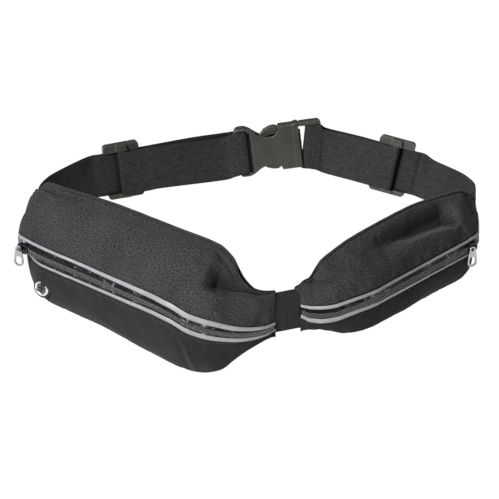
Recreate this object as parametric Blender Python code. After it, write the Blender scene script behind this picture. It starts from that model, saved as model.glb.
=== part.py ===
"""Waist pack: a double-pouch running belt, closed into a loop by a side-release buckle.

Lengths below are in millimetres and are scaled to metres when the meshes are made.
+X points to the small pouch's side, +Y to the back of the loop, where the buckle is, and
+Z up. The origin is the middle of the waist, level with the front webbing.
"""

import math

import bmesh
import bpy
import numpy as np
from mathutils import Matrix, Vector

MM = 0.001
GAP = 0.3

# Webbing and fabric
WEB_WIDTH = 38.0
WEB_THICK = 1.5
FABRIC = 1.2
FRONT_EDGE_DEPTH = 3.2
WEB_DEPTH_IN_POUCH = FABRIC + GAP + WEB_THICK / 2
POUCH_END_DEPTH = 2 * FABRIC + 2 * GAP + WEB_THICK

# Zipper band, as shares of its half height from the middle line outwards
TEETH_BAND = (0.06, 0.22)
TAPE_BAND = (0.25, 0.57)
STRIP_BAND = (0.60, 1.0)
SEAM_GAP = 0.5
TEETH_THICK = 1.8
TAPE_THICK = 0.8
PIPING_RADIUS = 1.3

# Zip slider and its pull
SLIDER_LENGTH = 10.6
SLIDER_WIDTH = 8.6
PLATE_THICK = 1.1
PLATE_LIFT = 1.4
BRIDGE_LEG = 2.6
BRIDGE_RADIUS = 0.7
BRIDGE_TOP = 5.6
PULL_WIDTH = 7.4
PULL_LENGTH = 17.0
PULL_THICK = 1.1
PULL_EYE_RADIUS = 1.5

# Earphone port
PORT_RADIUS = 7.0
PORT_HOLE = 4.4
PORT_DISC = 4.0

# Side-release buckle, in its own frame: X towards the plug, Z across the webbing
BUCKLE_CENTRE = (24.5, 131.0, 19.2)
BUCKLE_ALONG = (0.990, 0.055, 0.129)
BUCKLE_LEAN = 12.0
BUCKLE_END = 38.5
BUCKLE_HALF_WIDTH = 23.5
EAR_RADIUS = 4.0
BODY_THICK = 10.0
RECEPTACLE_BAR = 9.6
PLUG_BAR = 11.8
PLUG_DROP = 3.5
BAR_THICK = 4.0
SLOT_HALF = 20.0
COLLAR = (2.0, 18.5)
COLLAR_HALF = 20.6
CAVITY = (-18.0, 17.8, 3.3)
PLUG_START = 18.9
ARM_THICK = 4.5
ROOT_HALF = 12.4

# Triglide adjusters, in their own frame: X along the strap, Y out of the loop, Z across
TRIGLIDE_HALF_LENGTH = 15.5
TRIGLIDE_HALF_WIDTH = 24.2
TRIGLIDE_WALL = 3.4
CENTRE_BAR_HALF = 2.5
BAR_DEPTH = 2.4
STRAP_LOW = 1.5
TAIL_END = 21.0

# Rear strap stretches: triglide centre, direction from triglide to buckle, lean in degrees
LEFT_PLANE = ((-107.0, 108.8, 6.9), (95.7, 22.7, 7.3), 12.0)
RIGHT_PLANE = ((121.0, 118.6, 5.3), (-59.1, 16.4, 9.3), 18.0)


class Pouch:
    """A lofted pouch. Each station gives where its back and front lie and its heights."""

    def __init__(self, name, stations, port=None):
        self.name = name
        self.port = port
        self.share = [row[0] for row in stations]
        self.columns = np.array([row[1:] for row in stations], float).T

    def read(self, share):
        """Back x, y, front x, y, top, zip middle, zip half height and bottom at a share."""
        return [monotone(self.share, column, share) for column in self.columns]

    def place(self, share, depth, height):
        """The point that lies depth out from the back sheet, at this height."""
        back_x, back_y, front_x, front_y = self.read(share)[:4]
        out = unit((front_x - back_x, front_y - back_y, 0))
        return Vector((back_x, back_y, height)) + out * depth

    def depth(self, share):
        back_x, back_y, front_x, front_y = self.read(share)[:4]
        return math.hypot(front_x - back_x, front_y - back_y)

    def edge_depth(self, share):
        """Depth of the front panels' edges: clear of the webbing at the pouch's two ends."""
        near_end = max(0.0, 1 - min(share, 1 - share) / 0.06)
        return FRONT_EDGE_DEPTH + (POUCH_END_DEPTH - FRONT_EDGE_DEPTH) * near_end

    def band_point(self, share, offset):
        """A point of the zipper band, offset above its middle line in half heights."""
        middle, half = self.read(share)[5:7]
        return self.place(share, self.depth(share), middle + offset * half)


def monotone(shares, values, at):
    """Smooth interpolation that never overshoots and keeps straight runs straight."""
    steps = np.diff(shares)
    slopes = np.diff(values) / steps
    tangents = np.zeros(len(values))
    for i in range(1, len(values) - 1):
        before, after = slopes[i - 1], slopes[i]
        if before * after > 0:
            long_after = 2 * steps[i] + steps[i - 1]
            long_before = steps[i] + 2 * steps[i - 1]
            tangents[i] = (long_after + long_before) / (long_after / before + long_before / after)
    tangents[0] = slopes[0]
    tangents[-1] = slopes[-1]
    i = int(np.clip(np.searchsorted(shares, at) - 1, 0, len(steps) - 1))
    t = (at - shares[i]) / steps[i]
    rise = values[i + 1] - values[i]
    blend = t * t * (3 - 2 * t)
    start = tangents[i] * (t - 2 * t * t + t ** 3)
    end = tangents[i + 1] * (t ** 3 - t * t)
    return float(values[i] + rise * blend + steps[i] * (start + end))


def unit(values):
    return Vector(values).normalized()


def material(name, colour, roughness, metallic=0.0):
    made = bpy.data.materials.new(name)
    made.use_nodes = True
    shader = made.node_tree.nodes["Principled BSDF"]
    shader.inputs["Base Color"].default_value = (*colour, 1)
    shader.inputs["Roughness"].default_value = roughness
    shader.inputs["Metallic"].default_value = metallic
    made.diffuse_color = (*colour, 1)
    return made


def add_mesh(name, points, faces, surface, frame=None):
    """An object from points in millimetres; frame places it, for instance on a joint."""
    mesh = bpy.data.meshes.new(name)
    mesh.from_pydata([Vector(p) * MM for p in points], [], faces)
    mesh.materials.append(surface)
    body = bmesh.new()
    body.from_mesh(mesh)
    bmesh.ops.recalc_face_normals(body, faces=body.faces)
    body.to_mesh(mesh)
    body.free()
    item = bpy.data.objects.new(name, mesh)
    bpy.context.scene.collection.objects.link(item)
    if frame is not None:
        item.matrix_world = frame
    return item


def frame_at(origin, x_axis, y_axis, z_axis):
    """A placing matrix from an origin in millimetres and three unit axes."""
    turn = Matrix((x_axis, y_axis, z_axis)).transposed().to_4x4()
    return Matrix.Translation(Vector(origin) * MM) @ turn


def smooth(item, angle=35.0):
    item.data.shade_smooth()
    item.data.set_sharp_from_angle(angle=math.radians(angle))
    return item


def sheet(name, rows, thickness, offset, surface):
    """A grid of points, thickened to one closed solid. Offset -1 grows it inwards."""
    wide = len(rows[0])
    points = [point for row in rows for point in row]
    faces = []
    for r in range(len(rows) - 1):
        for c in range(wide - 1):
            corner = r * wide + c
            faces.append((corner, corner + 1, corner + wide + 1, corner + wide))
    item = add_mesh(name, points, faces, surface)
    thick = item.modifiers.new("thickness", "SOLIDIFY")
    thick.thickness = thickness * MM
    thick.offset = offset
    thick.use_even_offset = True
    return smooth(item)


def outline_solid(name, outline, low, high, surface, frame=None):
    """An outline in X and Z, extruded along Y between low and high."""
    count = len(outline)
    points = [(x, y, z) for y in (low, high) for x, z in outline]
    faces = [tuple(range(count)), tuple(range(2 * count - 1, count - 1, -1))]
    for i in range(count):
        after = (i + 1) % count
        faces.append((i, after, count + after, count + i))
    return add_mesh(name, points, faces, surface, frame)


def block(name, low, high, surface, frame=None):
    """A box between two corners."""
    outline = [(low[0], low[2]), (high[0], low[2]), (high[0], high[2]), (low[0], high[2])]
    return outline_solid(name, outline, low[1], high[1], surface, frame)


def arc(centre, radius, start, end, steps):
    """Points on a circle between two angles in degrees."""
    turns = [math.radians(start + (end - start) * i / steps) for i in range(steps + 1)]
    return [(centre[0] + radius * math.cos(t), centre[1] + radius * math.sin(t)) for t in turns]


def rounded_box(low_x, high_x, half_z, radius, steps=3):
    """Outline of a rectangle with round corners, centred on Z = 0."""
    corners = [
        ((high_x - radius, half_z - radius), 0),
        ((low_x + radius, half_z - radius), 90),
        ((low_x + radius, radius - half_z), 180),
        ((high_x - radius, radius - half_z), 270),
    ]
    return [p for centre, turn in corners for p in arc(centre, radius, turn, turn + 90, steps)]


def cut(item, tool, operation="DIFFERENCE"):
    """Applies a Boolean to the item, then removes the tool."""
    change = item.modifiers.new("shape", "BOOLEAN")
    change.operation = operation
    change.object = tool
    change.solver = "EXACT"
    bpy.context.view_layer.update()
    graph = bpy.context.evaluated_depsgraph_get()
    made = bpy.data.meshes.new_from_object(item.evaluated_get(graph))
    item.modifiers.clear()
    item.data = made
    bpy.data.objects.remove(tool)
    return item


def cylinder(name, radius, low, high, surface, frame, sides=20, centre=(0.0, 0.0)):
    """A round bar along Y."""
    outline = arc(centre, radius, 0, 360 * (1 - 1 / sides), sides - 1)
    return outline_solid(name, outline, low, high, surface, frame)


def bevelled(item, width, segments=2):
    """Rounds the edges of a block before it is cut."""
    edge = item.modifiers.new("edges", "BEVEL")
    edge.width = width * MM
    edge.segments = segments
    edge.limit_method = "ANGLE"
    edge.angle_limit = math.radians(50)
    return item


def catmull(points, steps):
    """A smooth curve through points of any dimension."""
    points = [Vector(p) for p in points]
    ends = [2 * points[0] - points[1], *points, 2 * points[-1] - points[-2]]
    curve = []
    for a, b, c, d in zip(ends, ends[1:], ends[2:], ends[3:]):
        for i in range(steps):
            t = i / steps
            curve.append(
                0.5 * (2 * b + (c - a) * t + (2 * a - 5 * b + 4 * c - d) * t ** 2
                       + (3 * b - a - 3 * c + d) * t ** 3)
            )
    curve.append(points[-1])
    return curve


# ---------------------------------------------------------------- pouches

def upper_profile(pouch, share, steps=6):
    """From the top seam, over the crowned face, down to the zipper band."""
    top, middle, half = pouch.read(share)[4:7]
    near, far = pouch.edge_depth(share), pouch.depth(share)
    low = middle + half + SEAM_GAP
    high = top
    knots = [
        Vector((near, high)),
        Vector((near + 0.42 * (far - near), high)),
        Vector((near + 0.92 * (far - near), low + 0.5 * (high - low))),
        Vector((far, low)),
    ]
    return bezier(knots, steps)


def lower_profile(pouch, share, steps=8):
    """From the zipper band, round the belly, back to the bottom seam."""
    middle, half, bottom = pouch.read(share)[5:8]
    near, far = pouch.edge_depth(share), pouch.depth(share)
    high = middle - half - SEAM_GAP
    drop = high - bottom
    knots = [
        Vector((far, high)),
        Vector((far, bottom + 0.3 * drop)),
        Vector((near + 0.7 * (far - near), bottom - 0.22 * drop)),
        Vector((near, bottom + 0.04 * drop)),
    ]
    return bezier(knots, steps)


def bezier(knots, steps):
    a, b, c, d = knots
    curve = []
    for i in range(steps + 1):
        t = i / steps
        s = 1 - t
        curve.append(s ** 3 * a + 3 * s * s * t * b + 3 * s * t * t * c + t ** 3 * d)
    return curve


def shares():
    """Loft positions along a pouch, closer together where its ends round off."""
    ends = [np.linspace(0, 0.2, 9), np.linspace(0.2, 0.87, 10), np.linspace(0.87, 1, 8)]
    return [float(s) for s in np.unique(np.round(np.concatenate(ends), 5))]


def panel(pouch, name, profile, surface):
    rows = []
    for share in shares():
        rows.append([pouch.place(share, p[0], p[1]) for p in profile(pouch, share)])
    return sheet(f"{pouch.name}_{name}", rows, FABRIC, -1, surface)


def back_panel(pouch, surface):
    rows = []
    for share in shares():
        top = pouch.read(share)[4]
        bottom = lower_profile(pouch, share)[-1][1]
        heights = [bottom + (top - bottom) * i / 4 for i in range(5)]
        rows.append([pouch.place(share, FABRIC / 2, z) for z in heights])
    return sheet(f"{pouch.name}_back_panel", rows, FABRIC, 0, surface)


def band(pouch, name, low, high, thickness, surface):
    """One strip of the zipper band, between two shares of its half height."""
    rows = []
    for share in shares():
        rows.append([pouch.band_point(share, low), pouch.band_point(share, high)])
    return sheet(f"{pouch.name}_{name}", rows, thickness, 0, surface)


def piping(pouch, first, last, surface):
    """The rolled seam along the top edge."""
    curve = bpy.data.curves.new(f"{pouch.name}_top_piping", "CURVE")
    curve.dimensions = "3D"
    curve.bevel_depth = PIPING_RADIUS * MM
    curve.bevel_resolution = 1
    curve.use_fill_caps = True
    spline = curve.splines.new("POLY")
    inner = [s for s in shares() if first < s < last]
    stops = [first, *inner, last]
    spline.points.add(len(stops) - 1)
    for point, share in zip(spline.points, stops):
        height = pouch.read(share)[4] + PIPING_RADIUS + GAP
        place = pouch.place(share, WEB_DEPTH_IN_POUCH, height) * MM
        point.co = (*place, 1)
    curve.materials.append(surface)
    item = bpy.data.objects.new(curve.name, curve)
    bpy.context.scene.collection.objects.link(item)
    return item


def band_frame(pouch, share, ahead):
    """Frame on the zipper band: X along it towards ahead, Y out of the loop, Z up."""
    here = pouch.band_point(share, 0)
    along = (pouch.band_point(ahead, 0) - here).normalized()
    up = (Vector((0, 0, 1)) - along * along.z).normalized()
    out = up.cross(along)
    if out.dot(pouch.place(share, 10, 0) - pouch.place(share, 0, 0)) < 0:
        along, out = -along, -out
    return frame_at(here, along, out, up)


def slider(pouch, frame, surface):
    """Two plates joined by a fin between the teeth, and a bridge that holds the pull."""
    half_long, half_wide = SLIDER_LENGTH / 2, SLIDER_WIDTH / 2
    fin_half = 0.15
    outline = rounded_box(-half_long, half_long, half_wide, 2.0)
    top = PLATE_LIFT + PLATE_THICK
    name = f"{pouch.name}_zip_slider"
    body = outline_solid(name, outline, PLATE_LIFT, top, surface, frame)
    under = outline_solid("under", outline, -top, -PLATE_LIFT, surface, frame)
    fin = block("fin", (-2, -top + 0.4, -fin_half), (4, top - 0.4, fin_half), surface, frame)
    cut(body, under, "UNION")
    cut(body, fin, "UNION")
    for side in (-1, 1):
        leg = cylinder("leg", BRIDGE_RADIUS, top - 0.4, BRIDGE_TOP, surface, frame, 10,
                       (side * BRIDGE_LEG, 0))
        cut(body, leg, "UNION")
    reach = BRIDGE_LEG + BRIDGE_RADIUS + 0.2
    roof = block("roof", (-reach, BRIDGE_TOP - 0.4, -1.0), (reach, BRIDGE_TOP + 0.6, 1.0),
                 surface, frame)
    cut(body, roof, "UNION")
    return smooth(body)


def pull(pouch, frame, side, surface):
    """A flat ring pull that hangs from one leg of the slider's bridge."""
    pivot = frame @ Matrix.Translation(Vector((side * BRIDGE_LEG * MM, 0, 0)))
    low = PLATE_LIFT + PLATE_THICK + 0.4
    half = PULL_WIDTH / 2
    eye_outer = PULL_EYE_RADIUS + 1.3
    foot = -(PULL_LENGTH - half)
    outline = arc((0, 0), eye_outer, 0, 180, 8) + arc((0, foot), half, 190, 350, 10)
    name = f"{pouch.name}_zip_pull"
    body = outline_solid(name, outline, low, low + PULL_THICK, surface, pivot)
    eye = cylinder("eye", PULL_EYE_RADIUS, low - 1, low + 2 * PULL_THICK, surface, pivot, 14)
    cut(body, eye)
    hole = arc((0, foot + 3.4), 2.1, 0, 180, 6) + arc((0, foot), 2.1, 180, 360, 6)
    cut(body, outline_solid("hole", hole, low - 1, low + 2 * PULL_THICK, surface, pivot))
    return smooth(body)


def port(pouch, panel_body, surfaces):
    """The earphone port: a metal ring, a slit rubber disc and a washer behind the panel."""
    share, step = pouch.port
    profile = lower_profile(pouch, share)
    here = pouch.place(share, *profile[step])
    below = pouch.place(share, *profile[step + 1])
    beside = pouch.place(share + 0.01, *lower_profile(pouch, share + 0.01)[step])
    up = (here - below).normalized()
    along = (beside - here).normalized()
    out = up.cross(along).normalized()
    if out.dot(pouch.place(share, 10, 0) - pouch.place(share, 0, 0)) < 0:
        out = -out
    across = out.cross(up).normalized()
    frame = frame_at(here, across, out, up)
    metal, rubber = surfaces
    cut(panel_body, cylinder("hole", PORT_HOLE, -8, 8, metal, frame, 18))
    smooth(panel_body)
    proud = 0.9
    ring = cylinder("earphone_port_ring", PORT_RADIUS, proud, proud + 1.4, metal, frame, 24)
    cut(ring, cylinder("hole", PORT_HOLE, -8, 8, metal, frame, 18))
    washer_low = -FABRIC - proud - 3.0
    washer = cylinder("earphone_port_washer", PORT_RADIUS, washer_low, washer_low + 1.0, metal,
                      frame, 24)
    cut(washer, cylinder("hole", PORT_HOLE, -8, 8, metal, frame, 18))
    disc = cylinder("earphone_port_rubber", PORT_DISC, washer_low, proud + 1.0, rubber,
                    frame, 18)
    for turn in (45, 135):
        blade = block("slit", (-2.9, -8, -0.25), (2.9, 8, 0.25), rubber,
                      frame @ Matrix.Rotation(math.radians(turn), 4, "Y"))
        cut(disc, blade)
    for item in (ring, washer, disc):
        smooth(item)


def build_pouch(pouch, piping_ends, zipper, pull_side, surfaces):
    """All the pieces of one pouch. zipper gives the slider's place and the way it faces."""
    panel(pouch, "upper_panel", upper_profile, surfaces["heather"])
    lower = panel(pouch, "lower_panel", lower_profile, surfaces["lower"])
    back_panel(pouch, surfaces["back"])
    for name, way in (("upper", 1), ("lower", -1)):
        pieces = (
            ("reflective_strip", STRIP_BAND, FABRIC, "reflective"),
            ("zip_tape", TAPE_BAND, TAPE_THICK, "tape"),
            ("zip_teeth", TEETH_BAND, TEETH_THICK, "teeth"),
        )
        for piece, limits, thickness, surface in pieces:
            low, high = (way * limit for limit in limits)
            band(pouch, f"{name}_{piece}", low, high, thickness, surfaces[surface])
    piping(pouch, *piping_ends, surfaces["back"])
    frame = band_frame(pouch, *zipper)
    slider(pouch, frame, surfaces["metal"])
    pull(pouch, frame, pull_side, surfaces["metal"])
    if pouch.port:
        port(pouch, lower, (surfaces["metal"], surfaces["rubber"]))


# ---------------------------------------------------------------- webbing

def ribbon(name, stops, surface, steps=6):
    """Webbing along stops, each a point and the direction across the webbing."""
    places = catmull([p for p, _ in stops], steps)
    ups = catmull([u for _, u in stops], steps)
    rows = []
    for place, up in zip(places, ups):
        across = up.normalized() * WEB_WIDTH
        rows.append([place + across * side for side in (-0.5, 0, 0.5)])
    return sheet(name, rows, WEB_THICK, 0, surface)


def leaning(direction, lean):
    """Axes of a strap stretch: along it, out of the loop, and up with a lean outwards."""
    along = unit(direction)
    up = (Vector((0, 0, 1)) - along * along.z).normalized()
    out = up.cross(along)
    if out.y < 0:
        out = -out
    turn = math.radians(lean)
    return along, out * math.cos(turn) - up * math.sin(turn), up * math.cos(turn) + out * math.sin(turn)


class Stretch:
    """A straight piece of rear strap: points are given along, inwards and up from a centre."""

    def __init__(self, centre, direction, lean):
        self.centre = Vector(centre)
        self.along, self.out, self.up = leaning(direction, lean)

    def stop(self, along, inward, up=0.0):
        place = self.centre + self.along * along - self.out * inward + self.up * up
        return place, self.up

    def frame(self, up=0.0):
        return frame_at(self.centre + self.up * up, self.along, self.out, self.up)


def wrap_stops(buckle, edge, side, radius, drop):
    """Webbing round a buckle bar: outer side first, then round the edge, then inside."""
    stops = [buckle.stop(edge + side * 16, -radius, -drop)]
    for x in (edge + side * 10, edge + side * 1.5):
        stops.append(buckle.stop(x, -radius))
    for turn in (-45, 0, 45):
        angle = math.radians(turn)
        stops.append(buckle.stop(edge - side * radius * math.cos(angle), radius * math.sin(angle)))
    for x in (edge + side * 1.5, edge + side * 9):
        stops.append(buckle.stop(x, radius))
    return stops


def triglide(name, stretch, surface):
    """Frame with two outer bars outside the strap and a raised middle bar inside it."""
    frame = stretch.frame(STRAP_LOW)
    half_long, half_wide = TRIGLIDE_HALF_LENGTH, TRIGLIDE_HALF_WIDTH
    outer_face = WEB_THICK / 2 + GAP
    back = outer_face + BAR_DEPTH
    bar_inner, bar_outer = centre_bar_faces()
    outline = rounded_box(-half_long, half_long, half_wide, 3.5)
    body = outline_solid(name, outline, -bar_inner, back, surface, frame)
    bevelled(body, 0.8)
    window = half_long - TRIGLIDE_WALL
    slot = half_wide - TRIGLIDE_WALL
    cut(body, block("window", (-window, -20, -slot), (window, 20, slot), surface, frame))
    room = block("room", (-half_long - 2, -20, -slot), (half_long + 2, outer_face, slot), surface,
                 frame)
    cut(body, room)
    bar = block("bar", (-CENTRE_BAR_HALF, -bar_inner, -slot - 1), (CENTRE_BAR_HALF, -bar_outer, slot + 1),
                surface, frame)
    cut(body, bevelled(bar, 0.9), "UNION")
    return smooth(body)


def centre_bar_faces():
    """How far inwards the middle bar reaches from the running strap: inner and outer face."""
    outer = WEB_THICK / 2 + GAP + WEB_THICK + GAP
    return outer + BAR_DEPTH, outer


def loop_radius():
    return BAR_DEPTH / 2 + GAP + WEB_THICK / 2


def return_strap(name, stretch, last_stops, surface):
    """The sewn end of a strap: tail, loop round the triglide's middle bar, way back."""
    bar_inner, bar_outer = centre_bar_faces()
    middle = (bar_inner + bar_outer) / 2
    radius = loop_radius()
    turn_at = BAR_DEPTH / 2 - CENTRE_BAR_HALF
    near = middle + radius
    stops = [stretch.stop(x, inward) for x, inward in (
        (TAIL_END, near - WEB_THICK - GAP),
        (15, near - WEB_THICK - GAP),
        (6, middle - radius + 0.3),
        (2, middle - radius),
    )]
    for angle in (-90, -45, 0, 45, 90):
        turn = math.radians(angle)
        stops.append(stretch.stop(turn_at - radius * math.cos(turn), middle + radius * math.sin(turn)))
    stops += [stretch.stop(x, near) for x in (2, 10, 20, 32)]
    return ribbon(name, stops + last_stops, surface)


def build_straps(big, small, surfaces):
    """The three pieces of webbing, the two sewn returns and the two triglides."""
    web = surfaces["webbing"]
    upright = Vector((0, 0, 1))
    buckle = Stretch(BUCKLE_CENTRE, BUCKLE_ALONG, BUCKLE_LEAN)
    left = Stretch(*LEFT_PLANE)
    right = Stretch(*RIGHT_PLANE)

    def tucked(pouch, share, height):
        return pouch.place(share, WEB_DEPTH_IN_POUCH, height), upright

    front = [tucked(big, share, 0) for share in (0.035, 0.015, 0)]
    front += [tucked(small, share, 0) for share in (0, 0.015, 0.035)]
    ribbon("front_webbing", front, web, 4)

    radius = BAR_THICK / 2 + GAP + WEB_THICK / 2
    edge = BUCKLE_END - RECEPTACLE_BAR
    left_stops = [tucked(big, share, 2) for share in (0.965, 0.985, 1)]
    left_stops += [(Vector(p), upright) for p in ((-176.5, 60, 1.5), (-168, 77.5, 2))]
    left_stops += [(Vector((-148.5, 92.5, 4)), (upright + left.up).normalized())]
    left_stops += [left.stop(x, 0) for x in (-27, -19, -10, 0, 20, 60)]
    left_stops += wrap_stops(buckle, -edge, -1, radius, 0)
    ribbon("left_strap", left_stops, web)
    left_last = [buckle.stop(-edge - 22, radius + 0.1), buckle.stop(-edge - 10.5, radius)]
    return_strap("left_return_strap", left, left_last, web)

    edge = BUCKLE_END - PLUG_BAR
    right_stops = [tucked(small, share, 2) for share in (0.965, 0.985, 1)]
    right_stops += [(Vector(p), upright) for p in ((189, 66, 1), (179.5, 82, 1.5))]
    right_stops += [(Vector((155, 99.8, 2.4)), (upright + right.up).normalized())]
    right_stops += [right.stop(x, 0) for x in (-25, -18, -9, 0, 20, 32)]
    right_stops += wrap_stops(buckle, edge, 1, radius, PLUG_DROP)
    ribbon("right_strap", right_stops, web)
    right_last = [buckle.stop(edge + 17, radius, -PLUG_DROP)]
    right_last += [buckle.stop(edge + 10.5, radius)]
    return_strap("right_return_strap", right, right_last, web)

    triglide("left_triglide", left, surfaces["plastic"])
    triglide("right_triglide", right, surfaces["plastic"])
    return buckle


# ---------------------------------------------------------------- buckle

def receptacle_outline():
    """Ears, bar end, side notches for the latch pads and the collar round the mouth."""
    half, radius = BUCKLE_HALF_WIDTH, EAR_RADIUS
    ear_in = -BUCKLE_END + radius
    upper = [(COLLAR[1], COLLAR_HALF), (COLLAR[0], COLLAR_HALF), (COLLAR[0] - 0.6, 12.6)]
    upper += [(-3.5, 11.0), (-10, 11.2), (-16, 13.8), (-19.3, 17.0)]
    upper += [(-24, 19.8), (-27.5, 22.6), (-30.5, half)]
    upper += arc((ear_in, half - radius), radius, 90, 180, 4)
    lower = [(x, -z) for x, z in reversed(upper)]
    return upper + lower


def receptacle(frame, surface):
    """Moulded socket: bar for the webbing, open sides for the latch pads, collar."""
    thick = BODY_THICK / 2
    body = outline_solid("buckle_receptacle", receptacle_outline(), -thick, thick, surface, frame)
    bevelled(body, 1.2)
    start, half, deep = CAVITY
    cut(body, block("cavity", (start, -deep, -half), (COLLAR[1] + 2, deep, half), surface, frame))
    inner = -BUCKLE_END + RECEPTACLE_BAR
    slot_end = -24.5
    cut(body, block("slot", (inner, -20, -SLOT_HALF), (slot_end, 20, SLOT_HALF), surface, frame))
    for low, high in ((BAR_THICK / 2, 20), (-20, -BAR_THICK / 2)):
        tool = block("relief", (-60, low, -SLOT_HALF), (slot_end, high, SLOT_HALF), surface, frame)
        cut(body, tool)
    return smooth(body)


def plug(frame, surface):
    """Strap frame with a bar, and the tongue that goes into the receptacle."""
    outline = rounded_box(PLUG_START, BUCKLE_END, BUCKLE_HALF_WIDTH, EAR_RADIUS)
    body = outline_solid("buckle_plug", outline, -4, 4, surface, frame)
    bevelled(body, 1.0)
    slot_start = PLUG_START + 1.8
    inner = BUCKLE_END - PLUG_BAR
    cut(body, block("slot", (slot_start, -20, -SLOT_HALF), (inner, 20, SLOT_HALF), surface, frame))
    for low, high in ((BAR_THICK / 2, 20), (-20, -BAR_THICK / 2)):
        tool = block("relief", (slot_start, low, -SLOT_HALF), (60, high, SLOT_HALF), surface, frame)
        cut(body, tool)
    half = ARM_THICK / 2
    root = block("root", (8, -half, -ROOT_HALF), (PLUG_START + 1, half, ROOT_HALF), surface, frame)
    cut(body, root, "UNION")
    tongue = [(8.5, 2.4), (-13, 2.0), (-15, 0), (-13, -2.0), (8.5, -2.4)]
    cut(body, outline_solid("tongue", tongue, -2, 2, surface, frame), "UNION")
    return smooth(body)


def latch_arm(name, side, frame, surface):
    """Springy arm with a thumb pad whose shoulder catches behind the collar."""
    outline = [
        (18.0, 12.8), (18.0, 16.6), (1.4, 16.6), (1.4, 19.3), (-2.5, 20.2), (-7, 19.6),
        (-11.5, 17.2), (-15, 13.4), (-16.2, 10.8), (-13, 10.9), (-6, 12.4), (2, 12.8),
    ]
    pivot = (15.0, 14.7)
    local = [(x - pivot[0], side * (z - pivot[1])) for x, z in outline]
    placed = frame @ Matrix.Translation(Vector((pivot[0], 0, side * pivot[1])) * MM)
    half = ARM_THICK / 2
    item = outline_solid(name, local, -half, half, surface, placed)
    return smooth(bevelled(item, 0.5))


def build_buckle(buckle, surfaces):
    frame = buckle.frame()
    plastic = surfaces["plastic"]
    receptacle(frame, plastic)
    plug(frame, plastic)
    latch_arm("buckle_upper_latch_arm", 1, frame, plastic)
    latch_arm("buckle_lower_latch_arm", -1, frame, plastic)


# ---------------------------------------------------------------- design

# Share along the pouch, back x, y, front x, y, top, zip middle, zip half height, bottom
BIG_POUCH = Pouch("big", [
    (0.00, 21.0, -106.0, 21.5, -110.5, 20.0, -12.0, 4.0, -21.0),
    (0.03, 13.5, -106.6, 13.2, -116.8, 20.0, -12.8, 4.8, -24.5),
    (0.06, 6.1, -105.1, 1.8, -121.5, 20.5, -12.6, 6.2, -30.5),
    (0.10, -2.9, -100.6, -14.5, -124.5, 27.0, -11.0, 7.8, -40.0),
    (0.15, -13.5, -94.0, -33.0, -125.2, 45.0, -7.0, 9.4, -53.5),
    (0.20, -23.8, -86.9, -49.5, -121.8, 52.0, -3.2, 9.8, -58.5),
    (0.27, -38.0, -76.5, -67.2, -112.0, 53.0, 2.6, 9.8, -59.5),
    (0.34, -51.9, -65.0, -81.1, -100.5, 52.0, 3.5, 9.8, -58.5),
    (0.60, -103.0, -23.0, -132.2, -58.5, 50.0, 3.5, 9.8, -54.0),
    (0.885, -159.2, 23.2, -188.4, -12.3, 43.5, 3.5, 9.8, -49.0),
    (0.905, -162.0, 26.2, -192.3, -9.1, 42.8, 3.5, 9.6, -47.5),
    (0.93, -165.4, 30.3, -194.6, -3.0, 41.5, 3.7, 9.0, -44.0),
    (0.96, -169.3, 36.2, -192.6, 9.5, 38.0, 4.2, 7.8, -36.5),
    (0.98, -171.3, 40.8, -186.0, 25.0, 34.0, 4.4, 6.5, -29.0),
    (1.00, -173.0, 46.0, -177.3, 44.7, 25.0, 4.5, 5.0, -20.0),
], port=(0.82, 2))

SMALL_POUCH = Pouch("small", [
    (0.00, 40.0, -99.0, 42.0, -103.0, 20.5, -2.2, 6.2, -20.5),
    (0.03, 45.8, -96.2, 49.5, -104.5, 21.5, -4.2, 7.6, -21.0),
    (0.06, 51.4, -93.0, 58.5, -105.5, 29.0, -4.2, 8.2, -22.0),
    (0.10, 58.2, -87.8, 69.5, -105.0, 37.5, -3.0, 8.2, -25.0),
    (0.15, 66.1, -80.0, 82.0, -101.5, 41.0, -0.2, 8.0, -30.0),
    (0.20, 73.5, -72.5, 93.0, -96.8, 43.0, 1.6, 7.8, -33.0),
    (0.27, 80.5, -64.8, 104.0, -89.3, 44.0, 2.2, 7.8, -34.0),
    (0.34, 91.1, -53.6, 114.6, -78.0, 44.5, 1.9, 7.8, -34.5),
    (0.60, 129.5, -12.9, 153.0, -36.7, 43.5, 0.7, 7.8, -37.0),
    (0.83, 164.2, 18.9, 186.0, -1.3, 38.0, -0.4, 7.8, -35.8),
    (0.86, 168.6, 24.0, 190.2, 3.2, 36.2, -0.55, 7.7, -35.2),
    (0.89, 173.0, 30.0, 192.8, 9.5, 33.5, -0.6, 7.2, -34.0),
    (0.94, 180.0, 40.6, 193.2, 24.0, 28.5, -0.8, 6.6, -29.5),
    (0.98, 184.4, 49.4, 192.4, 42.5, 25.0, -0.9, 5.6, -22.0),
    (1.00, 186.0, 54.0, 190.4, 53.0, 22.5, -1.0, 5.0, -18.5),
])


# Where the belt bends at the front webbing, and the pieces that go with its right half
BELT_HINGE = (39.9, -101.6, 0.0)
RIGHT_HALF = ("small_", "right_strap", "buckle_plug")


def clear_scene():
    for item in list(bpy.data.objects):
        bpy.data.objects.remove(item)


def parented(name, place, starts):
    """Puts the pieces whose names start like this under an empty on their joint."""
    joint = bpy.data.objects.new(name, None)
    bpy.context.scene.collection.objects.link(joint)
    joint.location = Vector(place) * MM
    bpy.context.view_layer.update()
    for item in list(bpy.context.scene.objects):
        if item.type != "EMPTY" and item.name.startswith(starts):
            item.parent = joint
            item.matrix_parent_inverse = joint.matrix_world.inverted()


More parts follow.
